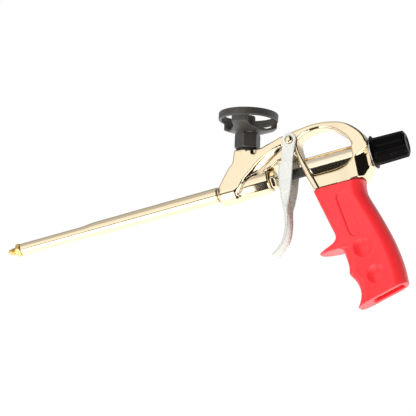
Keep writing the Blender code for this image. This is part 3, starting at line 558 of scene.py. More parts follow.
def cut_window(body):
    """The window, with a shallow step along its rim."""
    arch = smooth(WINDOW)
    front = [Vector((STRUT_REAR_AT_AXIS - STRUT_LEAN * z, z)) for z in (6.2, 14.0)]
    cut(body, plate("window", arch + front + [Vector((252.3, 20.0))], -30, 30))
    centre = Vector((274.0, 9.5))
    rim = [centre + (point - centre) * 1.055 for point in arch]
    for side in (-1, 1):
        low, high = sorted((side * (FRAME_HALF - 0.9), side * 14.0))
        cut(body, plate("window_rim", rim, low, high))


def make_frame_loop():
    """The D-shaped frame: arch, front strut, lower plate and rear wall round the window."""
    lower = [(306.5, -9.5), (298.6, FRAME_BOTTOM), (258.2, FRAME_BOTTOM)]
    lower += [(254.2, -7.4), (251.2, 4.0), (249.2, 18.0), (246.0, 22.0)]
    outline = smooth(FRAME_TOP) + [Vector(point) for point in lower]
    loop = plate("frame_loop", outline, -FRAME_HALF, FRAME_HALF, CAST_EDGE, 4)
    cut_window(loop)
    strut = [(248.6, 26.0), (249.4, 19.0), (251.4, 4.0), (254.4, -7.4), (258.6, FRAME_BOTTOM + 0.1)]
    strut += [(262.6, FRAME_BOTTOM + 0.1), (259.2, -7.8), (255.0, 6.0), (252.7, 14.0)]
    strut += [(252.1, 20.0), (252.4, 26.0)]
    join(loop, plate("strut", strut, -STRUT_HALF, STRUT_HALF, 0.8))
    return loop


def splay(piece):
    """Draft on the casting's sides: its half-width grows downwards and forwards."""
    for vertex in piece.data.vertices:
        x, z = vertex.co.x / MM + ORIGIN.x, vertex.co.z / MM + ORIGIN.z
        vertex.co.y *= (11.07 - 0.00703 * x - 0.0406 * z) / TOWER_HALF


def make_tower():
    outline = rounded(TOWER_TOP) + smooth(TOWER_EDGE[:-2]) + [Vector((198.0, -2.0))]
    outline += [Vector((187.5, -1.7))]
    tower = plate("body_look", outline, -TOWER_HALF, TOWER_HALF, 1.4, 5)
    splay(tower)
    return tower


def make_groove_slope():
    """The groove's sloping upper side, which runs from the tower's edge down to the web."""
    line = smooth(TOWER_EDGE[:6])
    bm = bmesh.new()
    loops = []
    for index, point in enumerate(line):
        along = (line[min(index + 1, len(line) - 1)] - line[max(index - 1, 0)]).normalized()
        inward = Vector((-along.y, along.x))
        width = 5.4 - 3.6 * index / (len(line) - 1)
        loop = []
        for across, y in ((-1.0, -7.2), (0.0, -7.2), (width, -4.0), (width, 4.0), (0.0, 7.2), (-1.0, 7.2)):
            spot = point + across * inward
            loop.append(bm.verts.new((spot.x, y, spot.y)))
        loops.append(loop)
    bridge(bm, loops)
    return add_piece("groove_slope", bm)


def ease(value):
    value = min(1.0, max(0.0, value))
    return value * value * (3 - 2 * value)


REAR_GROWTH = 2.9  # how much the rear wall thickens on each side
FACET_START = 294.4  # where the facet below the hub begins
FACET_HALF = 7.6  # half-width that the facet leaves


def shape_rear(body):
    """Thickens the frame's rear wall until the hub is flush in it, with a slanting facet low on each side."""
    for vertex in body.data.vertices:
        x, y, z = (component / MM for component in vertex.co)
        x, z = x + ORIGIN.x, z + ORIGIN.z
        if z < -19.4 or (x > HOUSING_SEAT_END and math.hypot(y, z) < 7.4):
            continue
        growth = REAR_GROWTH * ease((x - 272.0) / 23.0)
        wide = min(abs(y) + growth * ease((abs(y) - 3.0) / 3.0), max(abs(y), FRAME_HALF + growth))
        below = 0.5 * (x - FACET_START) - 2.2 - z
        depth = min(0.38 * (x - FACET_START), 3.0 * below)
        if depth > 0:
            wide = min(wide, max(FACET_HALF, FRAME_HALF + REAR_GROWTH - depth))
        vertex.co.y = math.copysign(wide, y) * MM


def make_socket():
    """The rounded lower half of the boss that takes the barrel, its sides flush with the tower's."""
    profile = [(SOCKET_FRONT, 0), (SOCKET_FRONT, SOCKET_R - 1.8), (SOCKET_FRONT + 0.5, SOCKET_R - 0.8)]
    profile += [(SOCKET_FRONT + 1.8, SOCKET_R), (196.6, SOCKET_R), (198.4, SOCKET_R - 0.35)]
    profile += [(199.6, VALVE_R + 0.1), (201.5, VALVE_R - 0.6), (201.5, 0)]
    socket = turned("socket", profile, sides=FINE)
    for vertex in socket.data.vertices:
        vertex.co.y *= 9.8 / SOCKET_R
    cut(socket, box("socket_top", (180, -15, -0.6), (210, 15, 15)))
    return socket


def make_body():
    body = make_tower()
    join(body, make_socket())
    join(body, plate("gusset", rounded(GUSSET_OUTLINE), -GUSSET_HALF, GUSSET_HALF, 0.8))
    valve = [(VALVE_FRONT, 0), (VALVE_FRONT, VALVE_R), (VALVE_REAR - 0.8, VALVE_R)]
    valve += [(VALVE_REAR, VALVE_R - 0.8), (VALVE_REAR, 0)]
    join(body, turned("valve_cylinder", valve, sides=FINE))
    groove = smooth([(240.0, 22.2), *TOWER_EDGE[1:]])
    groove += smooth(RIDGE_EDGE[1:])
    cut(body, plate("groove", groove, -30, 30))
    join(body, rod("core", 192.0, 221.0, CORE_R, sides=FINE))
    join(body, plate("inner_web", WEB_OUTLINE, -WEB_HALF, WEB_HALF))
    join(body, make_groove_slope())
    join(body, make_frame_loop())
    tower_top = [(12.0, 0), (12.0, 8.4), (SEAT_H - 0.6, 9.0), (SEAT_H, 8.5), (SEAT_H, 0)]
    join(body, turned("tower_top", tower_top, TOWER_AXIS, FINE))
    hub = [(HUB_FRONT, 0), (HUB_FRONT, HUB_R - 0.8), (HUB_FRONT + 0.8, HUB_R), (HUB_REAR - 1.0, HUB_R)]
    hub += [(HUB_REAR, HUB_R - 0.8), (HUB_REAR, 0)]
    join(body, turned("hub", hub, sides=FINE))
    tang = [(268.0, -14.0), (286.0, -14.0), (295.5, -75.0), (281.0, -75.0)]
    join(body, plate("tang", tang, -TANG_HALF, TANG_HALF))
    bore_body(body)
    soften(body, 0.42, 2)
    shape_rear(body)
    soften(body, 0.40, 7)
    show(body, NICKEL, "frame", "body_casting")


HOUSING_END = 295.8
HOUSING_SEAT_END = 288.0  # where the tube disappears into the frame's rear wall
PLUG_AXIS = ((199.3, 0.0, 21.7), (0.0, -math.radians(71.8), 0.0))
RECESS_PROFILE = [(-2.6, 0), (-2.2, 1.3), (-1.0, 2.4), (1.5, 3.3), (1.5, 0)]


def bore_body(body):
    cut(body, rod("barrel_socket", 180, SOCKET_BOTTOM, SPIGOT_R + GAP, sides=FINE))
    cut(body, rod("valve_chamber", SOCKET_BOTTOM - 1, PACKING_FRONT + 1, CHAMBER_R))
    cut(body, rod("packing_bore", PACKING_FRONT, VALVE_REAR + 2, PACKING_R))
    cut(body, rod("adapter_socket", 21.2, SEAT_H + 4, 6.4, TOWER_AXIS))
    cut(body, rod("adapter_port", 0.5, 22.0, 2.6, TOWER_AXIS))
    cut(body, rod("rod_bore", 246.0, 262.0, COLLAR_R + RUN))
    housing_seat = [(250.0, 0), (250.0, HOUSING_R + GAP), (HOUSING_SEAT_END, HOUSING_R + GAP)]
    housing_seat += [(HOUSING_SEAT_END, 6.4), (HUB_REAR + 3, 6.4), (HUB_REAR + 3, 0)]
    seat = turned("housing_seat", housing_seat, sides=FINE)
    cut(seat, plate("strut_face", strut_side(-0.05), -30, 30))
    cut(body, seat)
    pivot = ((PIVOT_X, 0.0, PIVOT_Z), (math.pi / 2, 0.0, 0.0))
    cut(body, rod("pivot_bore", -20, 20, 2.8, pivot))
    for side in (-1, 1):
        place = ((217.4, side * 9.6, 23.9), (-side * math.pi / 2, 0.0, 0.0))
        cut(body, turned("recess", RECESS_PROFILE, place, 20))
    cut(body, rod("plug_bore", -4.5, 6.0, 1.7, PLUG_AXIS, 32))
    cut(body, rod("tang_screw_bore", -10, 22, 2.2, SCREW_AXIS, 16))


def strut_side(clearance):
    """Outline of everything in front of the strut's rear face, moved to the rear by the clearance."""
    face = [(STRUT_REAR_AT_AXIS - STRUT_LEAN * z + clearance, z) for z in (20.0, -20.0)]
    return [(230.0, 20.0), *face, (230.0, -20.0)]


# Nozzle, barrel and needle


def make_nozzle():
    threads = []
    for index in range(4):
        start = 2.4 + index * 1.0
        threads += [(start, 2.3), (start + 0.35, 2.85), (start + 0.65, 2.85), (start + 0.98, 2.3)]
    outer = [(0.0, 1.9), (0.4, 2.3), *threads]
    outer += [(6.5, 3.0), (7.0, 3.8), (10.0, 3.8), (10.0, 3.3), (18.0, 3.3)]
    inner = [(18.0, 2.5), (8.0, 2.5), (4.0, ORIFICE_R), (0.0, ORIFICE_R)]
    nozzle = turned("nozzle_look", outer + inner)
    hex_part = hexagon("nozzle_hex", 6.8, BARREL_FRONT - GAP, NOZZLE_HEX_FLATS, BARREL_AXIS, 1.0)
    cut(hex_part, rod("nozzle_hex_bore", 5, 12, 3.0))
    join(nozzle, hex_part)
    soften(nozzle, 0.13, 2)
    show(nozzle, BRASS, "frame", "nozzle_tip")


def rounded_end(along, radius, edge, toward, steps=5):
    """A rounded corner and a little of the cylinder, away from the end face or towards it."""
    points = [(along + toward * (edge + 0.2), radius)]
    for step in range(steps + 1):
        angle = math.pi / 2 * step / steps
        in_from_end, in_from_side = edge * (1 - math.sin(angle)), edge * (1 - math.cos(angle))
        points.append((along + toward * in_from_end, radius - in_from_side))
    return points[::-1] if toward > 0 else points


def make_barrel():
    outer = rounded_end(BARREL_FRONT, THIN_R, 0.4, 1) + [(FLARE_START, THIN_R)]
    for step in range(1, 24):
        share = step / 24
        radius = THIN_R + (THICK_FRONT_R - THIN_R) * (1 - math.cos(math.pi * share)) / 2
        outer.append((FLARE_START + (FLARE_END - FLARE_START) * share, radius))
    outer += [(FLARE_END, THICK_FRONT_R)] + rounded_end(SHOULDER, THICK_REAR_R, 0.5, -1)
    outer += [(SHOULDER, SPIGOT_R), (BARREL_REAR, SPIGOT_R)]
    inner = [(BARREL_REAR, BARREL_BORE_R), (BARREL_FRONT, BARREL_BORE_R)]
    show(turned("barrel_look", outer + inner, sides=FINE), NICKEL, "frame", "barrel")
    low, high = SHOULDER + GAP, SOCKET_FRONT - GAP
    collar = rounded_end(low, 5.8, 0.35, 1) + rounded_end(high, 5.8, 0.35, -1)
    collar += [(high, SPIGOT_R + GAP), (low, SPIGOT_R + GAP)]
    show(turned("barrel_collar_look", collar, sides=FINE), NICKEL, "frame", "barrel_collar")


def make_needle():
    tip = [(3.7, 0), (4.0, 0.5), (4.6, 0.85), (7.0, ROD_R), (ROD_FRONT - GAP, ROD_R), (ROD_FRONT - GAP, 0)]
    show(turned("needle_tip_look", tip), WHITE_PLASTIC, "needle", "needle_tip")
    shaft = [(ROD_FRONT, 0), (ROD_FRONT, ROD_R), (ROD_REAR - 0.6, ROD_R)]
    shaft += [(ROD_REAR, ROD_R - 0.6), (ROD_REAR, 0)]
    show(turned("needle_rod_look", shaft), STEEL, "needle", "needle_rod")
    collar = rounded_end(COLLAR_FRONT, COLLAR_R, 0.5, 1) + rounded_end(COLLAR_REAR, COLLAR_R, 0.5, -1)
    collar += [(COLLAR_REAR, ROD_R + GAP), (COLLAR_FRONT, ROD_R + GAP)]
    show(turned("rod_collar_look", collar), BLACK_PLASTIC, "needle", "rod_collar")


def helix(name, low, high, coil_r, wire_r, turns, place=BARREL_AXIS, per_turn=32, sides=12):
    """A coil spring whose end turns lie flat at low and high."""
    bm = bmesh.new()
    count = turns * per_turn
    flat = 2.2 * wire_r
    span_low, span_high = low + wire_r + flat, high - wire_r - flat
    loops = []
    for index in range(count + 1):
        angle = 2 * math.pi * index / per_turn
        travel = min(max((index / per_turn - 0.75) / (turns - 1.5), 0.0), 1.0)
        start = flat * min(index / per_turn, 0.75) / 0.75
        tail = flat * min((count - index) / per_turn, 0.75) / 0.75
        along = span_low + (span_high - span_low) * travel + start - tail
        loop = []
        for side in range(sides):
            turn = 2 * math.pi * side / sides
            radius = coil_r + wire_r * math.cos(turn)
            height = along + wire_r * math.sin(turn)
            loop.append(bm.verts.new((radius * math.cos(angle), radius * math.sin(angle), height)))
        loops.append(loop)
    bridge(bm, loops)
    return add_piece(name, bm, place)


def make_springs():
    """The return spring and the ball spring, each with a mesh of its own."""
    low, high = 264.1, 290.7
    coils = helix("return_spring_look", low, high, 5.9, 0.7, 7)
    show(coils, STEEL, "frame", "return_spring")
    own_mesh(coils)
    low, high = 26.4, 31.1
    coils = helix("ball_spring_look", low, high, 3.0, 0.4, 3, TOWER_AXIS)
    show(coils, STEEL, "frame", "ball_spring")
    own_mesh(coils)


def make_gland_nut():
    nut = hexagon("gland_nut_look", VALVE_REAR + GAP, 229.3, 13.0, BARREL_AXIS, 0.6)
    join(nut, rod("gland_spigot", 220.2, 226.0, PACKING_R - GAP))
    cut(nut, rod("gland_bore", 218.0, 231.0, ROD_R + RUN))
    soften(nut, 0.2, 3)
    show(nut, NICKEL, "frame", "gland_nut")


def make_port_plug():
    profile = [(-3.5, 0), (-3.5, 1.4), (1.6, 1.4)]
    angles = [math.pi * step / 16 for step in range(1, 8)]
    profile += [(1.6 + math.sin(angle), 1.4 * math.cos(angle)) for angle in angles]
    show(turned("port_plug_look", profile + [(2.6, 0)], PLUG_AXIS, 32), NICKEL, "frame", "port_plug")


# Adapter


def make_opening_cutter(turn):
    """A prism along the adapter's axis that opens the basket between two spokes."""
    hub, reach = 13.0, 30.0
    corner = (hub + 0.3) / math.cos(math.radians(60)) - 2 * SPOKE_HALF * math.cos(math.radians(30))
    corner = corner * math.sin(math.radians(60)) / 2 + SPOKE_HALF / 2
    outer = corner + (reach - hub) * math.tan(math.radians(60))
    points = [(hub, 0.0), (hub + 0.1, corner * 0.6), (hub + 0.5, corner), (reach, outer), (reach, -outer)]
    points += [(hub + 0.5, -corner), (hub + 0.1, -corner * 0.6)]
    bm = prism([(x, y, 40.0) for x, y in points], (0, 0, RING_LOW - 40.0))
    bmesh.ops.rotate(bm, matrix=Matrix.Rotation(turn, 3, "Z"), verts=bm.verts)
    return add_piece("opening_cutter", bm, TOWER_AXIS)


def make_adapter():
    """Hexagonal neck, three spokes and a threaded ring."""
    outer = [(21.5, 6.1), (30.9, 6.1), (30.9, 8.0), (HEX_HIGH - 0.6, 8.0), (43.1, 9.2)]
    outer += [(47.5, SPOKE_R - 0.9), (48.3, SPOKE_R), (RING_LOW, SPOKE_R), (RING_LOW + 0.4, RING_R)]
    outer += [(RING_HIGH - 0.5, RING_R), (RING_HIGH, RING_R - 0.5), (RING_HIGH, RING_INNER_R + 0.5)]
    inner = [(RING_HIGH - 0.5, RING_INNER_R)]
    for index in range(2):
        top = RING_HIGH - 1.3 - index * 2.2
        inner += [(top, RING_INNER_R), (top - 0.5, RING_INNER_R + 0.7), (top - 1.0, RING_INNER_R)]
    inner += [(52.0, RING_INNER_R - 0.4), (49.6, RING_INNER_R - 0.5), (FLOOR_H, 15.0), (FLOOR_H, 6.6)]
    inner += [(37.0, 6.6), (37.0, 4.4), (26.0, 4.4), (26.0, 2.6), (21.5, 2.6)]
    basket = turned("adapter_basket_look", outer + inner, TOWER_AXIS, FINE)
    nut = hexagon("adapter_hex", HEX_LOW, HEX_HIGH, ADAPTER_HEX_FLATS, TOWER_AXIS, 0.5)
    cut(nut, rod("adapter_hex_bore", HEX_LOW - 2, HEX_HIGH + 2, 7.0, TOWER_AXIS, FINE))
    join(basket, nut)
    for index in range(3):
        cut(basket, make_opening_cutter(math.radians(90 + 120 * index)))
    soften(basket, 0.4, 3)
    show(basket, DARK_COATING, "frame", "adapter_basket")


def make_valve_insert():
    outer = [(37.3, 6.3), (48.6, 6.3), (49.4, 5.9), (56.2, 5.4), (56.7, 5.2), (57.0, 4.8)]
    inner = [(57.0, 3.0), (56.6, 2.6), (55.4, 2.0), (37.3, 2.0)]
    show(turned("valve_insert_look", outer + inner, TOWER_AXIS), DARK_COATING, "frame", "valve_insert")


# Trigger

# Each station of the folded sheet: x, z, half-width and depth of the flanges
TRIGGER_STATIONS = [
    (235.3, 9.5, 10.15, 11.6), (232.7, -1.0, 10.15, 11.3), (231.6, -12.0, 10.1, 9.2),
    (231.2, -21.5, 9.3, 5.9), (231.1, -26.5, 8.6, 3.8), (230.9, -31.0, 8.2, 3.0),
    (230.2, -36.5, 8.0, 2.8), (228.5, -43.0, 8.0, 2.6), (225.4, -49.6, 8.2, 2.4),
    (221.2, -54.6, 8.6, 2.2), (217.6, -57.3, 8.9, 2.0), (216.3, -57.95, 8.4, 1.9),
    (215.6, -58.2, 7.2, 1.9),
]


def channel_section(half_width, depth, steps=8):
    """Half of the folded sheet's section as (across, back) points, from the flange's edge to the web."""
    bend = min(2.3, depth - 0.15)
    outer = [(half_width, depth)]
    inner = [(half_width - SHEET, depth)]
    for step in range(steps + 1):
        angle = math.pi / 2 * step / steps
        outer.append((half_width - bend + bend * math.cos(angle), bend - bend * math.sin(angle)))
        reach = bend - SHEET
        inner.append((half_width - bend + reach * math.cos(angle), bend - reach * math.sin(angle)))
    return outer, inner


def make_trigger_web():
    """The folded sheet: a channel whose flanges are deep beside the frame and shallow at the fingers."""
    line = smooth(TRIGGER_STATIONS)
    bm = bmesh.new()
    loops = []
    for index, (x, z, half_width, depth) in enumerate(line):
        following, previous = line[min(index + 1, len(line) - 1)], line[max(index - 1, 0)]
        along = Vector((following[0] - previous[0], following[1] - previous[1])).normalized()
        outer, inner = channel_section(half_width, depth)
        section = [(-y, d) for y, d in outer] + [(y, d) for y, d in reversed(outer)]
        section += inner + [(-y, d) for y, d in reversed(inner)]
        loops.append([bm.verts.new((x - along.y * d, y, z + along.x * d)) for y, d in section])
    bridge(bm, loops)
    return add_piece("trigger_look", bm)


def ear_outline():
    """The plate round the pivot, narrowing down to the folded sheet."""
    outline = []
    for degrees in range(-5, 196, 20):
        angle = math.radians(degrees)
        outline.append((PIVOT_X + 5.8 * math.cos(angle), PIVOT_Z + 5.8 * math.sin(angle)))
    outline += [(237.7, 10.3), (236.1, 3.2), (236.6, -3.0), (243.0, -3.0), (245.9, 5.8), (248.4, 12.6)]
    return outline


def make_trigger():
    trigger = make_trigger_web()
    for side in (-1, 1):
        low, high = sorted((side * CHEEK_INNER, side * CHEEK_OUTER))
        join(trigger, plate("ear", ear_outline(), low, high))
    cut(trigger, box("rod_slot", (226, -2.6, -2.6), (240, 2.6, 6.4)))
    cut(trigger, rod("trigger_bore", -20, 20, 2.8, PIVOT_AXIS))
    soften(trigger, 0.27, 2)
    show(trigger, TRIGGER_STEEL, "trigger", "trigger")


PIVOT_AXIS = ((PIVOT_X, 0.0, PIVOT_Z), (math.pi / 2, 0.0, 0.0))


def make_rivet():
    start = CHEEK_OUTER + GAP
    dome = [(start, 3.2), (start + 0.25, 3.2)]
    for step in range(1, 12):
        angle = math.pi / 2 * step / 12
        dome.append((start + 0.25 + 1.35 * math.sin(angle), 3.2 * math.cos(angle)))
    dome.append((start + 1.6, 0))
    profile = [(-along, radius) for along, radius in reversed(dome)] + [(-start, 2.5), (start, 2.5)] + dome
    show(turned("pivot_rivet_look", profile, PIVOT_AXIS), NICKEL, "frame", "pivot_rivet")


# Rear end


def make_housing():
    profile = [(along, HOUSING_BORE_R) for along in (HOUSING_END, 250.0)]
    profile += [(along, HOUSING_R) for along in (250.0, HOUSING_END)]
    tube = turned("spring_housing_look", profile, sides=FINE)
    cut(tube, plate("mitre", strut_side(GAP), -30, 30))
    show(tube, NICKEL, "frame", "spring_housing")


def make_flow_knob():
    """The fluted knob, tapering to the rear, with a thin flange in front."""
    flutes, per_flute = 12, 16
    stations = [(KNOB_FRONT + 0.6, KNOB_R, 0.0), (311.0, KNOB_R - 0.1, 0.0), (311.8, KNOB_R - 0.15, 0.45)]
    stations += [(312.6, KNOB_R - 0.2, 0.9), (322.0, 10.5, 0.9), (KNOB_REAR - 1.0, 10.3, 0.9)]
    stations += [(KNOB_REAR - 0.4, 10.15, 0.85), (KNOB_REAR, 9.8, 0.7)]
    bm = bmesh.new()
    loops = []
    for along, radius, depth in stations:
        loop = []
        for index in range(flutes * per_flute):
            angle = 2 * math.pi * index / (flutes * per_flute)
            wave = max(0.0, math.cos(flutes * angle)) ** 0.8
            reach = radius - depth * wave
            loop.append(bm.verts.new((reach * math.cos(angle), reach * math.sin(angle), along)))
        loops.append(loop)
    bridge(bm, loops)
    knob = add_piece("flow_knob_look", bm, BARREL_AXIS)
    flange = [(KNOB_FRONT, 0), (KNOB_FRONT, 12.4), (KNOB_FRONT + 0.4, FLANGE_R)]
    flange += [(KNOB_FRONT + 1.0, FLANGE_R), (KNOB_FRONT + 1.6, 11.4), (KNOB_FRONT + 1.6, 0)]
    join(knob, turned("flange", flange, sides=FINE))
    cut(knob, rod("screw_bore", 300, 326.3, SCREW_R + RUN))
    cut(knob, rod("head_bore", 326, 329, 1.8, sides=16))
    cut(knob, rod("cap_recess", 328.3, 340, 8.6, sides=FINE))
    soften(knob, 0.3, 2)
    show(knob, GLOSS_BLACK, "knob", "flow_knob")
    cap = [(331.2, 0), (331.2, 8.3)] + rounded_end(CAP_REAR, 8.3, 0.7, -1)
    cap += [(CAP_REAR, 5.8), (CAP_REAR - 0.2, 5.4), (CAP_REAR - 0.5, 5.1), (CAP_REAR - 0.5, 0)]
    show(turned("knob_cap_look", cap, sides=FINE), GLOSS_BLACK, "knob", "knob_cap")


# Handle

SCREW_AXIS = ((289.6, 0.0, -80.0), (0.0, -math.radians(11), 0.0))

# Levels down the grip: z, front x, length and width of the front corner's rounding
GRIP_FRONT = [
    (HANDLE_TOP, 257.4, 4.5, 4.0),
    (-28.4, 259.6, 5.0, 4.5),
    (-38.8, 262.3, 5.5, 4.8),
    (-49.0, 265.0, 5.5, 4.8),
    (-56.4, 266.9, 5.5, 5.0),
    (-59.4, 266.6, 6.0, 5.4),
    (-61.4, 264.9, 8.5, 6.2),
    (-62.8, 262.3, 11.0, 7.2),
    (-63.9, 259.2, 14.0, 8.0),
    (-65.0, 256.0, 17.0, 8.6),
    (-66.2, 253.0, 20.0, 9.0),
    (-67.1, 251.5, 21.0, 9.2),
    (-67.9, 251.6, 21.0, 9.3),
    (-68.3, 253.4, 19.0, 9.0),
    (-68.4, 260.0, 13.0, 7.5),
    (-68.6, 267.0, 7.5, 6.0),
    (-69.6, 269.9, 5.5, 5.0),
]
GRIP_LOWER_FRONT = [
    (-72.5, 271.4), (-77.0, 272.1), (-82.0, 272.6), (-86.5, 272.2), (-88.9, 271.8), (-91.3, 273.0),
    (-94.1, 274.8), (-97.5, 276.4), (-101.5, 277.3), (-105.0, 277.3), (-108.5, 276.4),
    (-112.0, 274.8), (-115.0, 272.6), (-121.0, 268.6),
]
GRIP_FRONT += [(z, x, 5.0, 4.8) for z, x in GRIP_LOWER_FRONT]

# Levels down the grip's back: z and x
GRIP_BACK = [
    (HANDLE_TOP, 297.2), (-22.5, 296.1), (-26.0, 295.8), (-30.0, 296.0), (-35.0, 297.5),
    (-43.5, 300.5), (-54.0, 304.0), (-64.4, 307.1), (-74.5, 309.6), (-84.4, 311.4),
    (-94.0, 312.5), (-103.6, 312.7), (-121.0, 312.4),
]

GRIP_BACK_LINE = smooth(GRIP_BACK)
NOSE_STEPS, HEEL_STEPS = 12, 14
LIP = 0.55  # height of the flat side's edge over the front's rounding


def between(table, z, column):
    """The table's value at a level, from straight lines between its rows."""
    for upper, lower in zip(table, table[1:]):
        if z >= lower[0]:
            share = min(1.0, max(0.0, (upper[0] - z) / (upper[0] - lower[0])))
            return upper[column] + (lower[column] - upper[column]) * share
    return table[-1][column]


def grip_section(z, front, nose_length, nose_width, inset):
    """The grip's rounded section at one level: a flat side with a small lip along the front's rounding."""
    front, back = front + inset, between(GRIP_BACK_LINE, z, 1) - inset
    half = 11.9 - 2.3 * (max(0.0, -60.0 - z) / 55.0) ** 2 - inset
    nose_length, nose_width = max(1.2, nose_length - inset), max(1.2, nose_width - inset)
    heel = (9.5 - inset, 8.5 - inset)
    side = []
    for step in range(NOSE_STEPS + 1):
        angle = math.pi / 2 * step / NOSE_STEPS
        across = half - LIP - nose_width * (1 - math.sin(angle))
        side.append((front + nose_length * (1 - math.cos(angle)), across))
    side.append((front + nose_length + 0.4, half))
    side.append(((front + nose_length + back - heel[0]) / 2, half))
    for step in range(HEEL_STEPS + 1):
        angle = math.pi / 2 * (1 - step / HEEL_STEPS)
        side.append((back - heel[0] * (1 - math.cos(angle)), half - heel[1] * (1 - math.sin(angle))))
    return side + [(x, -y) for x, y in reversed(side)]


def make_grip():
    """The grip's outside, through its sections from the top down."""
    top_edge = ((0.0, 0.9), (0.2, 0.45), (0.5, 0.15))
    rows = [(HANDLE_TOP - drop, *GRIP_FRONT[0][1:], inset) for drop, inset in top_edge]
    rows += [(*row, 0.0) for row in smooth(GRIP_FRONT)[1:]]
    bm = bmesh.new()
    loops = []
    for z, front, nose_length, nose_width, inset in rows:
        section = grip_section(z, front, nose_length, nose_width, inset)
        loops.append([bm.verts.new((x, y, z)) for x, y in section])
    bridge(bm, loops)
    return add_piece("handle_look", bm)


def capsule(start, end, radius):
    start, end = Vector(start), Vector(end)
    along = (end - start).normalized()
    across = Vector((-along.y, along.x))
    outline = []
    for centre, sign in ((end, 1), (start, -1)):
        for step in range(9):
            angle = math.pi * step / 8 - math.pi / 2
            outline.append(centre + radius * sign * (math.cos(angle) * along + math.sin(angle) * across))
    return outline


def make_handle():
    handle = make_grip()
    foot = [(262.0, -117.85), (320.0, -103.35), (320.0, -130.0), (262.0, -130.0)]
    cut(handle, plate("foot", foot, -30, 30))
    levels = (SHELF_BOTTOM, -89.0, -94.0, -99.0, -104.0, -110.0, -122.0)
    hollow = [Vector((between(GRIP_FRONT, z, 1) + HOLLOW_FRONT_WALL, z)) for z in levels]
    hollow += [Vector((between(GRIP_BACK, z, 1) - HANDLE_WALL, z)) for z in reversed(levels)]
    cut(handle, plate("hollow", hollow, -HOLLOW_HALF, HOLLOW_HALF, 1.2, 4))
    pocket = [(267.65, -13.0), (286.35, -13.0), (295.9, -75.4), (280.65, -75.4)]
    cut(handle, plate("tang_pocket", pocket, -TANG_HALF - GAP, TANG_HALF + GAP))
    cut(handle, rod("shelf_bore", -8, 8, 2.3, SCREW_AXIS, 32))
    for side in (-1, 1):
        for x, z, face in ((287.0, -72.6, 11.78), (292.9, -95.2, 10.96)):
            place = ((x, side * face, z), (-side * math.pi / 2, 0.0, 0.0))
            dish = [(-2.1 + 3.0 * (step / 14) ** 2, 9.2 * step / 14) for step in range(15)]
            cut(handle, turned("dimple", dish + [(0.9, 0)], place, 72))
        low, high = sorted((side * 11.15, side * 14.0))
        cut(handle, plate("panel", capsule((278.9, -31.0), (283.2, -58.0), 4.6), low, high))
    soften(handle, 0.42, 2)
    show(handle, RED_PLASTIC, "frame", "handle_shell")


def dress_cad_nodes():
    """Gives every CAD node that still shows the finish of its material slot."""
    for row in frame["record"]["subparts"]:
        node = frame["nodes"][row["node"]]
        if node.hide_render:
            continue
        node.data.materials.clear()
        node.data.materials.append(FINISHES[row["material_slot"]])
        node.data.shade_smooth()
        node.data.set_sharp_from_angle(angle=math.radians(35))


# Stage, light and camera

FLOOR_Z = -0.62
# Brightness of the studio by direction round the barrel's axis, in degrees up from the camera's side
STUDIO_BANDS = (
    (-180, 1.20), (-100, 1.20), (-88, 1.40), (-80, 1.95), (-20, 1.95), (-15, 0.20), (-7, 0.20),
    (-1, 1.35), (6, 1.35), (12, 1.10), (40, 1.05), (52, 0.62), (100, 0.55), (112, 0.36),
    (160, 0.42), (180, 1.20),
)
# The same by direction along the barrel, from -1 towards the nozzle to 1 towards the knob
STUDIO_SIDES = ((-1.0, 0.3), (-0.8, 0.5), (-0.5, 0.97), (0.02, 1.0), (0.13, 0.01), (0.85, 0.006), (1, 0.9))
STUDIO_TOP = 2.0
# Glow of the floor by Y, from the camera's side to the far side
FLOOR_GLOW = ((-1.1, 1.7), (-0.19, 1.8), (-0.172, 0.1), (-0.14, 0.1), (-0.12, 1.05), (0.5, 1.05))
FLOOR_GLOW += ((1.1, 0.9),)


def add_ramp(tree, source, limit, stops):
    """Levels by a value that runs from -limit to limit, with each stop as (share of the run, level)."""
    ramp = add_node(tree, "ShaderNodeValToRGB")
    elements = ramp.color_ramp.elements
    elements.remove(elements[-1])
    for index, (position, level) in enumerate(stops):
        element = elements[0] if index == 0 else elements.new(position)
        element.position = position
        element.color = (*[level / STUDIO_TOP] * 3, 1.0)
    tree.links.new(spread(tree, source, 0.0, 1.0, -limit, limit), ramp.inputs["Fac"])
    return ramp.outputs["Color"]


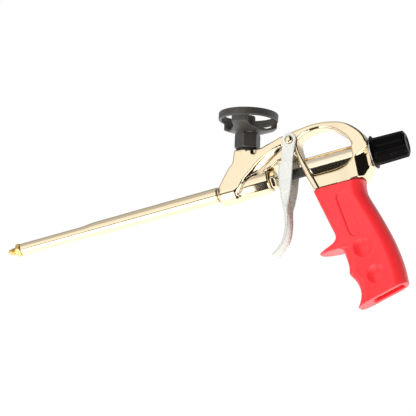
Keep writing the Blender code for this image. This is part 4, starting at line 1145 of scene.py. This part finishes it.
def make_world():
    """A white studio whose brightness changes in soft bands, seen as plain white behind the object."""
    world = bpy.data.worlds.new("studio")
    bpy.context.scene.world = world
    world.use_nodes = True
    tree = world.node_tree
    tree.nodes.clear()
    direction = add_node(tree, "ShaderNodeTexCoord").outputs["Generated"]
    parts = add_node(tree, "ShaderNodeSeparateXYZ")
    tree.links.new(direction, parts.inputs["Vector"])
    front = multiply(tree, parts.outputs["Y"], -1.0)
    angle = add_node(tree, "ShaderNodeMath", operation="ARCTAN2")
    tree.links.new(parts.outputs["Z"], angle.inputs[0])
    tree.links.new(front, angle.inputs[1])
    bands = [((degrees + 180) / 360, level) for degrees, level in STUDIO_BANDS]
    sides = [((along + 1) / 2, level) for along, level in STUDIO_SIDES]
    round_axis = add_ramp(tree, angle.outputs["Value"], math.pi, bands)
    side = multiply(tree, parts.outputs["X"], multiply(tree, front, 4.0, clamped=True))
    along_axis = add_ramp(tree, side, 1.0, sides)
    product = add_node(tree, "ShaderNodeMix", data_type="RGBA", blend_type="MULTIPLY")
    product.inputs["Factor"].default_value = 1.0
    tree.links.new(round_axis, product.inputs[6])
    tree.links.new(along_axis, product.inputs[7])
    studio = add_node(tree, "ShaderNodeBackground", strength=STUDIO_TOP * STUDIO_TOP)
    tree.links.new(product.outputs[2], studio.inputs["Color"])
    backdrop = add_node(tree, "ShaderNodeBackground", strength=1.02)
    backdrop.inputs["Color"].default_value = (1.0, 1.0, 1.0, 1.0)
    mix = add_node(tree, "ShaderNodeMixShader")
    tree.links.new(add_node(tree, "ShaderNodeLightPath").outputs["Is Camera Ray"], mix.inputs["Fac"])
    tree.links.new(studio.outputs["Background"], mix.inputs[1])
    tree.links.new(backdrop.outputs["Background"], mix.inputs[2])
    tree.links.new(mix.outputs["Shader"], add_node(tree, "ShaderNodeOutputWorld").inputs["Surface"])


def add_stage_piece(name, bm, material, height=0.0):
    mesh = bpy.data.meshes.new(name)
    bm.to_mesh(mesh)
    bm.free()
    mesh.materials.append(material)
    piece = bpy.data.objects.new(name, mesh)
    piece.location.z = height
    bpy.context.scene.collection.objects.link(piece)
    return piece


def make_floor():
    bm = bmesh.new()
    bmesh.ops.create_grid(bm, x_segments=8, y_segments=8, size=1.1)
    material = surface("pale_floor", (0.50, 0.50, 0.49), (0.48, 0.48, 0.47), (0.60, 0.75), patch=3.0)
    shader = material.node_tree.nodes["Principled BSDF"]
    shader.inputs["Emission Strength"].default_value = STUDIO_TOP
    split = add_node(material.node_tree, "ShaderNodeSeparateXYZ")
    place = add_node(material.node_tree, "ShaderNodeTexCoord").outputs["Object"]
    material.node_tree.links.new(place, split.inputs["Vector"])
    stops = [((along + 1.1) / 2.2, level) for along, level in FLOOR_GLOW]
    glow = add_ramp(material.node_tree, split.outputs["Y"], 1.1, stops)
    material.node_tree.links.new(glow, shader.inputs["Emission Color"])
    add_stage_piece("floor", bm, material, FLOOR_Z)


CARD_REACH = 0.30  # how far the dark card hangs from the barrel's axis
CARD_ENDS = (134.0, 247.0)


def make_dark_card():
    """A dark curved screen low in front of the gun, which only shows in the plated surfaces."""
    bm = bmesh.new()
    rows = []
    for step in range(25):
        angle = math.radians(-4 - 82 * step / 24)
        drop = CARD_REACH * math.sin(angle) - ORIGIN.z * MM
        front = -CARD_REACH * math.cos(angle)
        rows.append([bm.verts.new(((x - ORIGIN.x) * MM, front, drop)) for x in CARD_ENDS])
    for first, second in zip(rows, rows[1:]):
        bm.faces.new((first[0], first[1], second[1], second[0]))
    black = surface("dark_screen", (0.004, 0.004, 0.003), (0.006, 0.005, 0.004), (0.8, 0.9), relief=0.0)
    card = add_stage_piece("dark_card", bm, black)
    card.visible_camera = False
    card.visible_diffuse = False
    card.visible_shadow = False


def add_key_light():
    light = bpy.data.lights.new("key", "AREA")
    light.energy = 10.0
    light.shape = "DISK"
    light.size = 0.25
    lamp = bpy.data.objects.new("key", light)
    lamp.location = (-0.45, -1.0, 0.75)
    lamp.rotation_euler = (lamp.location - Vector((0.05, 0.0, -0.08))).to_track_quat("Z", "Y").to_euler()
    lamp.visible_glossy = False
    bpy.context.scene.collection.objects.link(lamp)


CAMERA_AZIMUTH = math.radians(17)
CAMERA_ELEVATION = math.radians(-16)
CAMERA_ROLL = -0.184022
CAMERA_DISTANCE = 1.5
CAMERA_TARGET = Vector((170.37, 0.0, -7.69))
CAMERA_LENS = 167.1


def make_camera():
    a, e = CAMERA_AZIMUTH, CAMERA_ELEVATION
    right = Vector((math.cos(a), math.sin(a), 0.0))
    up = Vector((-math.sin(a) * math.sin(e), math.cos(a) * math.sin(e), math.cos(e)))
    back = Vector((math.sin(a) * math.cos(e), -math.cos(a) * math.cos(e), math.sin(e)))
    rolled_right = math.cos(CAMERA_ROLL) * right + math.sin(CAMERA_ROLL) * up
    rolled_up = -math.sin(CAMERA_ROLL) * right + math.cos(CAMERA_ROLL) * up
    data = bpy.data.cameras.new("camera")
    data.lens = CAMERA_LENS
    data.sensor_width = 36.0
    camera = bpy.data.objects.new("camera", data)
    turn = Matrix((rolled_right, rolled_up, back)).transposed().to_4x4()
    turn.translation = (CAMERA_TARGET - ORIGIN) * MM + CAMERA_DISTANCE * back
    camera.matrix_world = turn
    bpy.context.scene.collection.objects.link(camera)
    bpy.context.scene.camera = camera


make_nozzle()
make_barrel()
make_needle()
make_gland_nut()
make_springs()
make_body()
make_port_plug()
make_adapter()
make_valve_insert()
make_trigger()
make_rivet()
make_housing()
make_flow_knob()
make_handle()
dress_cad_nodes()
make_world()
make_floor()
make_dark_card()
add_key_light()
make_camera()
bpy.context.scene.view_settings.view_transform = "Standard"
